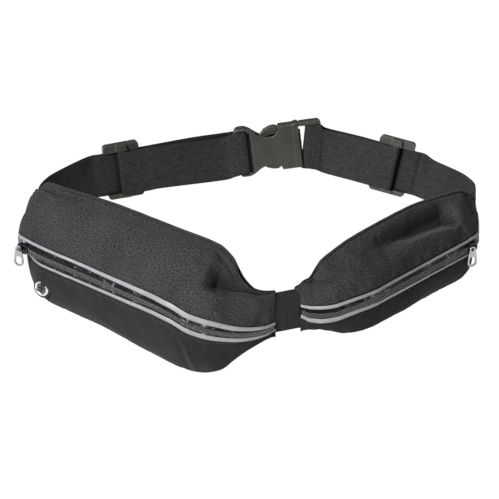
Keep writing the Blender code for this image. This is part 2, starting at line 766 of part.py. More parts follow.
def make_materials():
    return {
        "heather": material("heather_fabric", (0.045, 0.045, 0.047), 0.9),
        "lower": material("lower_fabric", (0.028, 0.028, 0.03), 0.88),
        "back": material("back_fabric", (0.02, 0.02, 0.022), 0.9),
        "webbing": material("webbing", (0.02, 0.021, 0.021), 0.8),
        "reflective": material("reflective_tape", (0.5, 0.5, 0.5), 0.35),
        "tape": material("zip_tape", (0.012, 0.012, 0.013), 0.3),
        "teeth": material("zip_teeth", (0.02, 0.02, 0.02), 0.35),
        "metal": material("nickel", (0.62, 0.62, 0.6), 0.25, 1.0),
        "rubber": material("rubber", (0.02, 0.02, 0.02), 0.7),
        "plastic": material("buckle_plastic", (0.045, 0.047, 0.043), 0.5),
    }


def main():
    clear_scene()
    surfaces = make_materials()
    build_pouch(BIG_POUCH, (0.12, 0.975), (0.885, 0.60), 1, surfaces)
    build_pouch(SMALL_POUCH, (0.07, 0.97), (0.82, 0.60), 1, surfaces)
    buckle = build_straps(BIG_POUCH, SMALL_POUCH, surfaces)
    build_buckle(buckle, surfaces)
    parented("belt_hinge", BELT_HINGE, RIGHT_HALF)
    parented("left_adjuster", LEFT_PLANE[0], ("left_triglide", "left_return_strap"))
    parented("right_adjuster", RIGHT_PLANE[0], ("right_triglide", "right_return_strap"))


main()
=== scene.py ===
"""The looks of the waist pack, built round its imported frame.

Lengths are in millimetres, in the frame's own axes, and are scaled to metres when the meshes
are made. The loft stations and strap routes are the ones the frame was designed with.
"""

import copy
import math

import bmesh
import bpy
import numpy as np
from mathutils import Matrix, Vector, noise


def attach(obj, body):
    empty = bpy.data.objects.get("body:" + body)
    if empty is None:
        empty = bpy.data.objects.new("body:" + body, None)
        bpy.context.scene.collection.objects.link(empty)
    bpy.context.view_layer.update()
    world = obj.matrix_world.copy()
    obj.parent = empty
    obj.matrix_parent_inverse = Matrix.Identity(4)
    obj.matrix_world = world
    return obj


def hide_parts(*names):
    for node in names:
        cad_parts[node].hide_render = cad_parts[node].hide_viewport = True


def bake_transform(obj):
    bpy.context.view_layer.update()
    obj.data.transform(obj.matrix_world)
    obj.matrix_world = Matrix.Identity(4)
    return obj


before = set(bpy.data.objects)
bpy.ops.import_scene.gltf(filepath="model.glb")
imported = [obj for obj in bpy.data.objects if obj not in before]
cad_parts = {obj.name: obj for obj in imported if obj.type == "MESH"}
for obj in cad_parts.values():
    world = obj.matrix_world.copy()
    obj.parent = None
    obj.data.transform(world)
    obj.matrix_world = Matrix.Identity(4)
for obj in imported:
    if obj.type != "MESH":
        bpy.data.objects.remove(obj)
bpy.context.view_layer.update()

MM = 0.001
UPRIGHT = Vector((0, 0, 1))

# Webbing, and how far out of the back sheet it runs inside the pouches
WEB_WIDTH = 38.0
WEB_THICK = 1.5
WEB_DEPTH = 2.25
WEB_STEPS = 12
WEB_COLUMNS = 13
WEB_GAP = 0.3

# Pouches: fabric, its distance from the back sheet at the top edge, and the band's roundness
PANEL_THICK = 1.0
EDGE_DEPTH = 3.2
END_DEPTH = 4.5
BAND_ROUND = 1.1
PANEL_ACROSS = 41
SEAM_T = 0.055
CLOTH_FRAMES = 18

# Buckle: its centre, direction and lean, then lengths along it and heights across it
BUCKLE_CENTRE = (24.5, 131.0, 18.4)
BUCKLE_ALONG = (0.985, 0.055, 0.152)
BUCKLE_LEAN = 12.0
BUCKLE_SKEW = 0.05
BUCKLE_END = 38.5
EAR_HALF = 21.4
EAR_END = 36.8
EAR_ROUND = 5.2
RECEPTACLE_BAR = 9.6
PLUG_BAR = 14.0
PLUG_TOP = 19.8
PLUG_FOOT = -19.9
WEB_TURN = 12.0
BAR_THICK = 4.0
WRAP = BAR_THICK / 2 + WEB_GAP + WEB_THICK / 2

# Triglides, and the straight stretches that they sit on: a place, a direction and a lean
BAR_DEPTH = 2.4
STRAP_LOW = 1.5
TAIL_END = 21.0
TRIGLIDE_HALF = (15.5, 24.2)
TRIGLIDE_ROUND = 3.2
TRIGLIDE_WALL = 3.4
TOP_WALL = 6.4
LEFT_PLANE = ((-107.0, 108.8, 6.9), (95.7, 22.7, 7.3), 12.0)
RIGHT_PLANE = ((121.0, 118.6, 5.3), (-59.1, 16.4, 9.3), 18.0)

# Zip coil, slider and pull
COIL_PITCH = 1.3
COIL_WIDE = 1.3
COIL_DEEP = 0.8
COIL_WIRE = 0.34
SLIDER_HALF = 5.3
PULL_LOW = 3.5
PULL_THICK = 1.2
PULL_FOOT = -13.3
PULL_TURN = {"big": 20, "small": -24}

# Studio
CAMERA_RISE = math.radians(31)
CAMERA_AWAY = 5.0
CAMERA_TARGET = (0, 0, -0.005)
VIEW_WIDTH = 415.8333
SENSOR = 36
KEY_DIRECTION = (0.56, 0.59, -0.58)
FLOOR_LEVEL = -1500.0
FLOOR_REACH = 12000.0


# ---------------------------------------------------------------- curves

def monotone(shares, values, at):
    """Smooth interpolation that never overshoots and keeps straight runs straight."""
    steps = np.diff(shares)
    slopes = np.diff(values) / steps
    tangents = np.zeros(len(values))
    for i in range(1, len(values) - 1):
        before, after = slopes[i - 1], slopes[i]
        if before * after > 0:
            long_after = 2 * steps[i] + steps[i - 1]
            long_before = steps[i] + 2 * steps[i - 1]
            tangents[i] = (long_after + long_before) / (long_after / before + long_before / after)
    tangents[0] = slopes[0]
    tangents[-1] = slopes[-1]
    i = int(np.clip(np.searchsorted(shares, at) - 1, 0, len(steps) - 1))
    t = (at - shares[i]) / steps[i]
    rise = values[i + 1] - values[i]
    blend = t * t * (3 - 2 * t)
    start = tangents[i] * (t - 2 * t * t + t ** 3)
    end = tangents[i + 1] * (t ** 3 - t * t)
    return float(values[i] + rise * blend + steps[i] * (start + end))


def unit(values):
    return Vector(values).normalized()


def turns(count):
    """Angles evenly round a circle."""
    return [2 * math.pi * k / count for k in range(count)]


def travel(points, i):
    """The direction in which a row of vectors runs at its point i."""
    return (points[min(i + 1, len(points) - 1)] - points[max(i - 1, 0)]).normalized()


def at_length(along, values, at):
    """A row of values read at a length, where along holds the length of each."""
    return Vector([np.interp(at, along, values[:, axis]) for axis in range(3)])


def catmull(points, steps):
    """A smooth curve through points."""
    points = [Vector(p) for p in points]
    ends = [2 * points[0] - points[1], *points, 2 * points[-1] - points[-2]]
    curve = []
    for a, b, c, d in zip(ends, ends[1:], ends[2:], ends[3:]):
        for i in range(steps):
            t = i / steps
            curve.append(
                0.5 * (2 * b + (c - a) * t + (2 * a - 5 * b + 4 * c - d) * t ** 2
                       + (3 * b - a - 3 * c + d) * t ** 3)
            )
    curve.append(points[-1])
    return curve


def bell(x, width):
    """A smooth bump of height 1 at x = 0."""
    return np.exp(-((x / width) ** 2))


def ramp(x, low, high):
    """0 below low, 1 above high and smooth between them."""
    t = np.clip((x - low) / (high - low), 0, 1)
    return t * t * (3 - 2 * t)


def ripple(place, size, seed):
    """Smooth noise from -1 to 1 at a point in millimetres."""
    return noise.noise(Vector(place) / size + Vector((seed, 2.3 * seed, -seed)))


# ---------------------------------------------------------------- meshes

def linked(name, data):
    """A new object in the scene."""
    item = bpy.data.objects.new(name, data)
    bpy.context.scene.collection.objects.link(item)
    return item


def add_mesh(name, points, faces, surface, uvs=None, placed=None):
    """An object from points in millimetres. uvs holds one pair in metres for each point."""
    mesh = bpy.data.meshes.new(name)
    mesh.from_pydata([Vector(p) * MM for p in points], [], faces)
    if uvs is not None:
        layer = mesh.uv_layers.new(name="UVMap")
        corners = np.empty(len(mesh.loops), np.int32)
        mesh.loops.foreach_get("vertex_index", corners)
        layer.data.foreach_set("uv", np.asarray(uvs, np.float32)[corners].ravel())
    item = linked(name, mesh)
    if surface is not None:
        mesh.materials.append(surface)
    if placed is not None:
        item.matrix_world = placed
    mesh.shade_smooth()
    return item


def freeze(item):
    """Applies the modifiers."""
    bpy.context.view_layer.update()
    graph = bpy.context.evaluated_depsgraph_get()
    made = bpy.data.meshes.new_from_object(item.evaluated_get(graph))
    item.modifiers.clear()
    item.data = made
    return item


def outwards(item):
    """Turns all faces outwards."""
    body = bmesh.new()
    body.from_mesh(item.data)
    bmesh.ops.recalc_face_normals(body, faces=body.faces)
    body.to_mesh(item.data)
    body.free()
    return item


def lengths(points):
    """Distance along a row of points, from its first one, in metres."""
    gaps = np.linalg.norm(np.diff(points, axis=0), axis=1)
    return np.concatenate([[0], np.cumsum(gaps)]) * MM


def grid(name, rows, surface, closed=False, uvs=None):
    """A sheet through an array of points, rows by columns, or a bar with ends if it is closed.

    Without uvs, each point gets its distances along and across the sheet, in metres."""
    rows = np.asarray(rows, float)
    high, wide = rows.shape[:2]
    if uvs is None:
        across = lengths(rows[high // 2])
        down = lengths(rows[:, wide // 2])
        uvs = [(down[r], across[c]) for r in range(high) for c in range(wide)]
    faces = []
    for first in range(0, (high - 1) * wide, wide):
        for c in range(wide if closed else wide - 1):
            after = (c + 1) % wide
            faces.append((first + c, first + after, first + wide + after, first + wide + c))
    if closed:
        faces.append(tuple(range(wide)))
        faces.append(tuple(range(high * wide - 1, (high - 1) * wide - 1, -1)))
    return outwards(add_mesh(name, rows.reshape(-1, 3), faces, surface, uvs))


def face_out(item, out):
    """Turns a sheet so that its middle face looks along out."""
    middle = item.data.polygons[len(item.data.polygons) // 2]
    if middle.normal.dot(out) < 0:
        item.data.flip_normals()
    return item


def normals_of(rows):
    """Unit normals of an array of points."""
    along = np.gradient(rows, axis=0)
    across = np.gradient(rows, axis=1)
    found = np.cross(along, across)
    return found / np.maximum(np.linalg.norm(found, axis=2, keepdims=True), 1e-9)


def tube(name, points, radius, surface, sides):
    """A round bar, narrower at its tips. radius is one number, or one for each point."""
    points = [Vector(p) for p in points]
    radii = np.broadcast_to(np.asarray(radius, float), (len(points),)).copy()
    radii[[0, -1]] *= 0.35
    rows = []
    side = travel(points, 0).orthogonal().normalized()
    for i, here in enumerate(points):
        ahead = travel(points, i)
        side = (side - ahead * side.dot(ahead)).normalized()
        other = ahead.cross(side)
        ring = [side * math.cos(turn) + other * math.sin(turn) for turn in turns(sides)]
        rows.append([here + reach * radii[i] for reach in ring])
    return grid(name, rows, surface, closed=True)


def join(name, items):
    """One object from several."""
    body = bmesh.new()
    for item in items:
        item.data.transform(item.matrix_world)
        body.from_mesh(item.data)
    mesh = bpy.data.meshes.new(name)
    body.to_mesh(mesh)
    body.free()
    for item in items:
        bpy.data.objects.remove(item)
    return linked(name, mesh)


def stitches(name, points, normals, surface, pitch, length, radius):
    """A row of thread stitches along a path, each one sinking into the fabric at its ends."""
    points = np.asarray(points, float)
    normals = np.asarray(normals, float)
    along = lengths(points) / MM
    total = along[-1]
    vertices, faces = [], []
    # Where along a stitch, how high its middle is and how thick it is there
    profile = ((-0.5, -0.25, 0.3), (-0.32, 0.55, 0.85), (0, 0.8, 1.0), (0.32, 0.55, 0.85), (0.5, -0.25, 0.3))
    sides = 6
    for k in range(int(total / pitch)):
        first = len(vertices)
        for shift, lift, size in profile:
            at = np.clip((k + 0.5) * pitch + shift * length, 0, total)
            here = at_length(along, points, at)
            out = at_length(along, normals, at).normalized()
            before = at_length(along, points, max(at - 0.4, 0))
            after = at_length(along, points, min(at + 0.4, total))
            side = (after - before).cross(out).normalized()
            for turn in turns(sides):
                up = radius * (lift + size * math.sin(turn))
                vertices.append(here + out * up + side * (radius * size * math.cos(turn)))
        last = len(vertices) - sides
        for low in range(first, last, sides):
            for j in range(sides):
                after = (j + 1) % sides
                faces.append((low + j, low + after, low + sides + after, low + sides + j))
        faces.append(tuple(reversed(range(first, first + sides))))
        faces.append(tuple(range(last, last + sides)))
    uvs = [(v[0] * MM, v[2] * MM) for v in vertices]
    return outwards(add_mesh(name, vertices, faces, surface, uvs))


def frame_at(origin, x_axis, y_axis, z_axis):
    """The matrix of a frame, in metres, from its origin in millimetres."""
    turn = Matrix((x_axis, y_axis, z_axis)).transposed().to_4x4()
    return Matrix.Translation(Vector(origin) * MM) @ turn


def outline_solid(outline, low, high, placed):
    """An outline in X and Z, extruded along Y between low and high."""
    count = len(outline)
    points = [(x, y, z) for y in (low, high) for x, z in outline]
    faces = [tuple(range(count)), tuple(range(2 * count - 1, count - 1, -1))]
    for i in range(count):
        after = (i + 1) % count
        faces.append((i, after, count + after, count + i))
    return outwards(add_mesh("solid", points, faces, None, None, placed))


def block(low, high, placed):
    """A box between two corners."""
    outline = [(low[0], low[2]), (high[0], low[2]), (high[0], high[2]), (low[0], high[2])]
    return outline_solid(outline, low[1], high[1], placed)


def arc(centre, radius, start, end, steps):
    """Points round a centre, between two angles in degrees."""
    angles = [math.radians(start + (end - start) * i / steps) for i in range(steps + 1)]
    return [(centre[0] + radius * math.cos(a), centre[1] + radius * math.sin(a)) for a in angles]


def rounded(corners):
    """An outline round four corner arcs, from upper right, given as (centre, radius)."""
    outline = []
    for k, (centre, radius) in enumerate(corners):
        outline += arc(centre, radius, 90 * k, 90 * k + 90, 6)
    return outline


def disc(radius, low, high, placed, sides=40):
    return outline_solid(arc((0, 0), radius, 0, 360 * (1 - 1 / sides), sides - 1), low, high, placed)


def cut(item, tool):
    """Takes the tool's shape out of the item, and deletes the tool."""
    change = item.modifiers.new("shape", "BOOLEAN")
    change.operation = "DIFFERENCE"
    change.object = tool
    change.solver = "EXACT"
    freeze(item)
    bpy.data.objects.remove(tool)


def moulded(name, solids, voxel, rounds, surface):
    """Melts solids into one body with soft edges, as moulding or casting leaves them."""
    item = join(name, solids)
    melt = item.modifiers.new("melt", "REMESH")
    melt.mode = "VOXEL"
    melt.voxel_size = voxel * MM
    soft = item.modifiers.new("soft", "SMOOTH")
    soft.factor = 0.5
    soft.iterations = rounds
    freeze(item)
    item.data.materials.append(surface)
    item.data.shade_smooth()
    return item


# ---------------------------------------------------------------- materials

class Surface:
    """A node material, with short ways to add and link nodes."""

    def __init__(self, name, rough, metallic=0.0, **inputs):
        self.material = bpy.data.materials.new(name)
        self.material.use_nodes = True
        self.tree = self.material.node_tree
        self.shader = self.tree.nodes["Principled BSDF"]
        self.shader.inputs["Roughness"].default_value = rough
        self.shader.inputs["Metallic"].default_value = metallic
        for key, value in inputs.items():
            self.shader.inputs[key.replace("_", " ")].default_value = value

    def add(self, kind, links=(), **values):
        """A node. links are (input, source node, output); values set properties or inputs."""
        node = self.tree.nodes.new(kind)
        for key, value in values.items():
            if hasattr(node, key):
                setattr(node, key, value)
            else:
                node.inputs[key.replace("_", " ")].default_value = value
        for target, source, output in links:
            self.tree.links.new(source.outputs[output], node.inputs[target])
        return node

    def to_shader(self, socket, node, output):
        self.tree.links.new(node.outputs[output], self.shader.inputs[socket])

    def place(self, coordinates):
        """Texture coordinates in metres."""
        source = self.add("ShaderNodeTexCoord")
        return self.add("ShaderNodeMapping", [("Vector", source, coordinates)])

    def stretched(self, where, scale):
        return self.add("ShaderNodeMapping", [("Vector", where, "Vector")], Scale=scale)

    def noise(self, where, scale, detail=2.0, rough=0.5):
        return self.add("ShaderNodeTexNoise", [("Vector", where, "Vector")], Scale=scale,
                        Detail=detail, Roughness=rough)

    def waves(self, where, scale, **values):
        return self.add("ShaderNodeTexWave", [("Vector", where, "Vector")], Scale=scale, **values)

    def fibres(self, where, scale):
        """Noise drawn out along one direction."""
        return self.noise(self.stretched(where, scale), 1.0, 3.0, 0.6)

    def math(self, operation, first, second):
        """first and second are numbers or (node, output)."""
        node = self.tree.nodes.new("ShaderNodeMath")
        node.operation = operation
        for i, value in enumerate((first, second)):
            if isinstance(value, tuple):
                self.tree.links.new(value[0].outputs[value[1]], node.inputs[i])
            else:
                node.inputs[i].default_value = value
        return node

    def ramp(self, source, output, stops):
        """A colour ramp. stops are (place, grey or colour)."""
        node = self.add("ShaderNodeValToRGB", [("Fac", source, output)])
        bar = node.color_ramp.elements
        while len(bar) < len(stops):
            bar.new(0.5)
        for mark, (at, colour) in zip(bar, stops):
            if not isinstance(colour, tuple):
                colour = (colour, colour, colour)
            mark.position = at
            mark.color = (*colour, 1)
        return node

    def product(self, first, second, output="Color"):
        """One colour multiplied by another. The result is the node's output 2."""
        node = self.add("ShaderNodeMix", [(6, first, output), (7, second, "Color")],
                        data_type="RGBA", blend_type="MULTIPLY")
        node.inputs[0].default_value = 1.0
        return node

    def with_painted_shade(self, colour, reach, floor):
        """A product's colour, darkened with painted shade where ambient occlusion finds folds and hollows, to
        the shader.
        """
        # Painted shade: the colour darkens towards floor where ambient occlusion finds nearby surfaces.
        hollow = self.add("ShaderNodeAmbientOcclusion", Distance=reach)
        hollow.samples = 8
        depth = self.ramp(hollow, "AO", [(0.25, floor), (0.85, 1.0)])
        self.to_shader("Base Color", self.product(colour, depth, 2), 2)

    def bump(self, height, output, strength, distance, before=None):
        node = self.add("ShaderNodeBump", [("Height", height, output)], Strength=strength,
                        Distance=distance)
        if before is not None:
            self.tree.links.new(before.outputs["Normal"], node.inputs["Normal"])
        self.to_shader("Normal", node, "Normal")
        return node


def times(colour, factor):
    return tuple(part * factor for part in colour)


def knit(name, dark, light, tint, rough, grain, weave, sheen):
    """Stretch fabric: fine rows of loops, threads of two greys, and soft fuzz."""
    surface = Surface(name, rough, Sheen_Weight=sheen, Sheen_Roughness=0.45, Specular_IOR_Level=0.08)
    where = surface.place("UV")
    long = surface.fibres(where, (560, 1500, 1))
    short = surface.fibres(where, (1400, 640, 1))
    both = surface.math("ADD", (long, "Fac"), (short, "Fac"))
    half = surface.math("MULTIPLY", (both, "Value"), 0.5)
    tones = [(0.5 - grain, times(tint, dark)), (0.5 + grain, times(tint, light))]
    colour = surface.ramp(half, "Value", tones)
    patches = surface.noise(where, 28.0, 2.0)
    shade = surface.ramp(patches, "Fac", [(0.3, 0.82), (0.7, 1.14)])
    # Painted shade: darker colour in folds and hollows, from ambient occlusion within 38 mm.
    surface.with_painted_shade(surface.product(colour, shade), 0.038, 0.20)
    loops = surface.waves(where, weave, Distortion=1.2, Detail=2.0)
    rows = surface.waves(where, weave * 0.8, bands_direction="Y", Distortion=1.2, Detail=2.0)
    height = surface.math("ADD", (loops, "Fac"), (rows, "Fac"))
    first = surface.bump(height, "Value", 0.35, 0.0003)
    surface.bump(half, "Value", 0.6, 0.0006, first)
    return surface.material


def webbing(name, dark, light, tint):
    """Ribbed woven tape: cords along it, crossed by fine picks."""
    surface = Surface(name, 0.72, Sheen_Weight=0.03, Sheen_Roughness=0.4, Specular_IOR_Level=0.15)
    where = surface.place("UV")
    weave = surface.add("ShaderNodeTexBrick", [("Vector", where, "Vector")], Scale=1.0,
                        Mortar_Size=0.0003, Mortar_Smooth=0.8, Brick_Width=0.0028, Row_Height=0.0017,
                        offset=0.5, squash=1.0, Color1=(*times(tint, light), 1),
                        Color2=(*times(tint, light * 0.6), 1), Mortar=(dark, dark, dark, 1))
    fuzz = surface.fibres(where, (900, 2600, 1))
    shade = surface.ramp(fuzz, "Fac", [(0.25, 0.6), (0.75, 1.3)])
    # Painted shade: darker colour where ambient occlusion within 13 cm finds the pouch and folds, which
    # darkens the strap behind the pouch.
    surface.with_painted_shade(surface.product(weave, shade), 0.13, 0.12)
    ribs = surface.waves(where, 240.0, Distortion=0.4, Detail=1.0)
    first = surface.bump(weave, "Fac", -0.5, 0.0003)
    second = surface.bump(ribs, "Fac", 0.2, 0.0002, first)
    surface.bump(fuzz, "Fac", 0.25, 0.0002, second)
    return surface.material


def plastic(name, colour, rough):
    """Moulded acetal: fine spark-eroded grain, and edges rubbed smooth and paler, the paleness partly wear
    and partly a painted highlight.
    """
    surface = Surface(name, rough, Specular_IOR_Level=0.5)
    where = surface.place("Object")
    grains = surface.noise(where, 2600.0, 3.0, 0.6)
    broad = surface.noise(where, 55.0, 3.0)
    shape = surface.add("ShaderNodeNewGeometry")
    # Edges are painted paler: partly rubbed wear, partly a painted highlight on the rims.
    edges = surface.ramp(shape, "Pointiness", [(0.5, 0.0), (0.56, 1.0)])
    tone = surface.ramp(broad, "Fac", [(0.3, times(colour, 0.9)), (0.7, times(colour, 1.1))])
    wear_and_highlight = surface.add("ShaderNodeMix", [(0, edges, "Color"), (6, tone, "Color")], data_type="RGBA")
    wear_and_highlight.inputs[7].default_value = (*times(colour, 2.0), 1)
    surface.to_shader("Base Color", wear_and_highlight, 2)
    gloss = surface.ramp(broad, "Fac", [(0.3, rough - 0.06), (0.7, rough + 0.06)])
    surface.to_shader("Roughness", gloss, "Color")
    surface.bump(grains, "Fac", 0.12, 0.0002)
    return surface.material


def coated_tape(name):
    """Black zipper tape with a crinkled film on it: it glints, and pale flecks painted into its colour stand
    for further glints.
    """
    surface = Surface(name, 0.3, Specular_IOR_Level=0.1, Coat_Roughness=0.06)
    where = surface.place("UV")
    crinkles = surface.noise(where, 330.0, 4.0)
    glint_streaks = surface.noise(surface.stretched(where, (230, 620, 1)), 1.0, 4.0, 0.7)
    film = surface.noise(where, 22.0, 3.0, 0.65)
    painted_glints = surface.math("MULTIPLY", (glint_streaks, "Fac"), (film, "Fac"))
    # Pale flecks in the colour are painted glints on the black tape.
    tones = [(0.28, (0.003, 0.003, 0.005)), (0.315, (0.02, 0.02, 0.026)), (0.36, (0.42, 0.42, 0.44))]
    surface.to_shader("Base Color", surface.ramp(painted_glints, "Value", tones), "Color")
    glossy = surface.ramp(film, "Fac", [(0.46, 0.02), (0.66, 0.5)])
    surface.to_shader("Coat Weight", glossy, "Color")
    ribs = surface.waves(where, 120.0, Distortion=0.6)
    first = surface.bump(ribs, "Fac", 0.12, 0.0002)
    surface.bump(crinkles, "Fac", 0.9, 0.0016, first)
    return surface.material


def reflective(name):
    """Silver-grey tape of tiny glass beads."""
    surface = Surface(name, 0.5, metallic=0.25, Specular_IOR_Level=0.6)
    where = surface.place("UV")
    beads = surface.add("ShaderNodeTexVoronoi", [("Vector", where, "Vector")], Scale=4200.0)
    broad = surface.noise(where, 90.0, 3.0)
    tone = surface.ramp(broad, "Fac", [(0.25, (0.30, 0.30, 0.31)), (0.75, (0.42, 0.42, 0.44))])
    # Bead centres are painted brighter than their rims: a painted highlight on each bead.
    spark = surface.ramp(beads, "Distance", [(0.1, 1.0), (0.7, 0.78)])
    surface.to_shader("Base Color", surface.product(tone, spark), 2)
    first = surface.bump(beads, "Distance", -0.3, 0.0001)
    surface.bump(broad, "Fac", 0.3, 0.0008, first)
    return surface.material


def metal(name, colour, rough):
    """Plated zinc: fine polishing marks, duller where it is handled."""
    surface = Surface(name, rough, metallic=1.0)
    where = surface.place("Object")
    broad = surface.noise(where, 260.0, 4.0)
    lines = surface.noise(surface.stretched(where, (700, 700, 4200)), 1.0, 3.0)
    tone = surface.ramp(broad, "Fac", [(0.3, times(colour, 0.86)), (0.7, colour)])
    surface.to_shader("Base Color", tone, "Color")
    gloss = surface.ramp(broad, "Fac", [(0.3, rough), (0.75, rough + 0.16)])
    surface.to_shader("Roughness", gloss, "Color")
    surface.bump(lines, "Fac", 0.08, 0.0001)
    return surface.material


def mottled(name, dark, light, rough, gloss, scale, detail, bump, distance):
    """Moulded rubber or nylon: a mottled tone, and skin as uneven as the tone."""
    surface = Surface(name, rough, Specular_IOR_Level=gloss)
    broad = surface.noise(surface.place("Object"), scale, detail)
    surface.to_shader("Base Color", surface.ramp(broad, "Fac", [(0.3, dark), (0.7, light)]), "Color")
    surface.bump(broad, "Fac", bump, distance)
    return surface.material


def thread(name, grey):
    """Twisted polyester thread."""
    surface = Surface(name, 0.6, Sheen_Weight=0.3, Sheen_Roughness=0.4)
    twist = surface.waves(surface.place("Object"), 900.0, bands_direction="DIAGONAL")
    surface.to_shader("Base Color", surface.ramp(twist, "Fac", [(0.0, grey * 0.6), (1.0, grey)]), "Color")
    surface.bump(twist, "Fac", 0.4, 0.0002)
    return surface.material


COOL = (1.0, 0.985, 1.01)
SURFACES = {
    "heather": knit("heather_fabric", 0.003, 0.070, (1.02, 0.98, 1.01), 0.92, 0.10, 420.0, 0.08),
    "lower": knit("lower_fabric", 0.006, 0.031, COOL, 0.85, 0.16, 520.0, 0.05),
    "back": knit("back_fabric", 0.008, 0.034, COOL, 0.9, 0.2, 240.0, 0.06),
    "webbing": webbing("webbing", 0.005, 0.037, (1.0, 1.0, 0.96)),
    "plastic": plastic("buckle_plastic", (0.032, 0.033, 0.028), 0.42),
    "tape": coated_tape("zip_tape"),
    "reflective": reflective("reflective_tape"),
    "nickel": metal("nickel", (0.50, 0.49, 0.48), 0.2),
    "chrome": metal("ring_nickel", (0.86, 0.86, 0.85), 0.16),
    "gunmetal": metal("gunmetal", (0.055, 0.055, 0.06), 0.26),
    "rubber": mottled("rubber", 0.008, 0.012, 0.6, 0.4, 300.0, 4.0, 0.25, 0.0003),
    "petals": mottled("petal_rubber", 0.04, 0.06, 0.5, 0.4, 300.0, 4.0, 0.25, 0.0003),
    "coil": mottled("zip_teeth", 0.06, 0.14, 0.26, 0.6, 700.0, 3.0, 0.2, 0.0001),
    "thread": thread("thread", 0.025),
    "pale_thread": thread("pale_thread", 0.26),
}


def finish_piece(item, body, slot, *nodes):
    """The piece moves with the body and stands for these CAD nodes, which are hidden. slot is not used."""
    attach(item, body)
    if nodes:
        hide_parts(*nodes)


# ---------------------------------------------------------------- pouches

class Pouch:
    """A lofted pouch. Each station gives where its back and front lie and its heights."""

    def __init__(self, name, body, stations):
        self.name = name
        self.body = body
        self.share = [row[0] for row in stations]
        self.columns = np.array([row[1:] for row in stations], float).T

    def read(self, share):
        """Back x, y, front x, y, top, zip middle, zip half height and bottom at a share."""
        return [monotone(self.share, column, share) for column in self.columns]

    def out(self, share):
        back_x, back_y, front_x, front_y = self.read(share)[:4]
        return unit((front_x - back_x, front_y - back_y, 0))

    def place(self, share, depth, height):
        """The point that lies depth out from the back sheet, at this height."""
        back_x, back_y = self.read(share)[:2]
        return Vector((back_x, back_y, height)) + self.out(share) * depth

    def depth(self, share):
        back_x, back_y, front_x, front_y = self.read(share)[:4]
        return math.hypot(front_x - back_x, front_y - back_y)

    def edge_depth(self, share):
        near_end = max(0.0, 1 - min(share, 1 - share) / 0.06)
        return EDGE_DEPTH + (END_DEPTH - EDGE_DEPTH) * near_end

    def tuck(self, share):
        """How far the lower side of the outer end lies behind the upper side, and below it.

        The third value is the share of that which the upper side has too."""
        end = float(ramp(share, 0.80, 0.93))
        if self is BIG:
            return 0.24 * self.depth(share) * end, 3.4 * end, 0.0
        return 0.30 * self.depth(share) * end, 3.0 * end, 0.4

    def band_point(self, share, rise, lift=0.0):
        """A point of the zipper band, rise above its middle line and lift out of it.

        The band is a little rounded, so its edges lie further back than its middle."""
        middle, half = self.read(share)[5:7]
        back, down, common = self.tuck(share)
        low = float(ramp(-rise / half, -0.1, 1.0))
        back_off = BAND_ROUND * (rise / half) ** 2 + back * (common + (1 - common) * low)
        return self.place(share, self.depth(share) - back_off + lift, middle + rise - down * low)

    def half(self, share):
        return self.read(share)[6]


BIG = Pouch("big", "left_half", [
    (0.00, 21.0, -106.0, 21.5, -110.5, 20.0, -12.0, 4.0, -21.0),
    (0.03, 13.5, -106.6, 13.2, -116.8, 20.0, -12.8, 4.8, -24.5),
    (0.06, 6.1, -105.1, 1.8, -121.5, 20.5, -12.6, 6.2, -30.5),
    (0.10, -2.9, -100.6, -14.5, -124.5, 27.0, -11.0, 7.8, -40.0),
    (0.15, -13.5, -94.0, -33.0, -125.2, 45.0, -7.0, 9.4, -53.5),
    (0.20, -23.8, -86.9, -49.5, -121.8, 52.0, -3.2, 9.8, -58.5),
    (0.27, -38.0, -76.5, -67.2, -112.0, 53.0, 2.6, 9.8, -59.5),
    (0.34, -51.9, -65.0, -81.1, -100.5, 52.0, 3.5, 9.8, -58.5),
    (0.60, -103.0, -23.0, -132.2, -58.5, 50.0, 3.5, 9.8, -54.0),
    (0.885, -159.2, 23.2, -187.4, -11.3, 43.5, 3.5, 9.8, -49.0),
    (0.905, -162.0, 26.2, -190.4, -7.6, 42.8, 3.5, 9.6, -47.5),
    (0.93, -165.4, 30.3, -192.3, -1.5, 41.2, 3.7, 9.0, -44.0),
    (0.96, -169.3, 36.2, -190.0, 11.0, 36.8, 4.2, 7.8, -36.5),
    (0.98, -171.3, 40.8, -186.0, 25.0, 34.0, 4.4, 6.5, -29.0),
    (1.00, -173.0, 46.0, -177.3, 44.7, 25.0, 4.5, 5.0, -20.0),
])

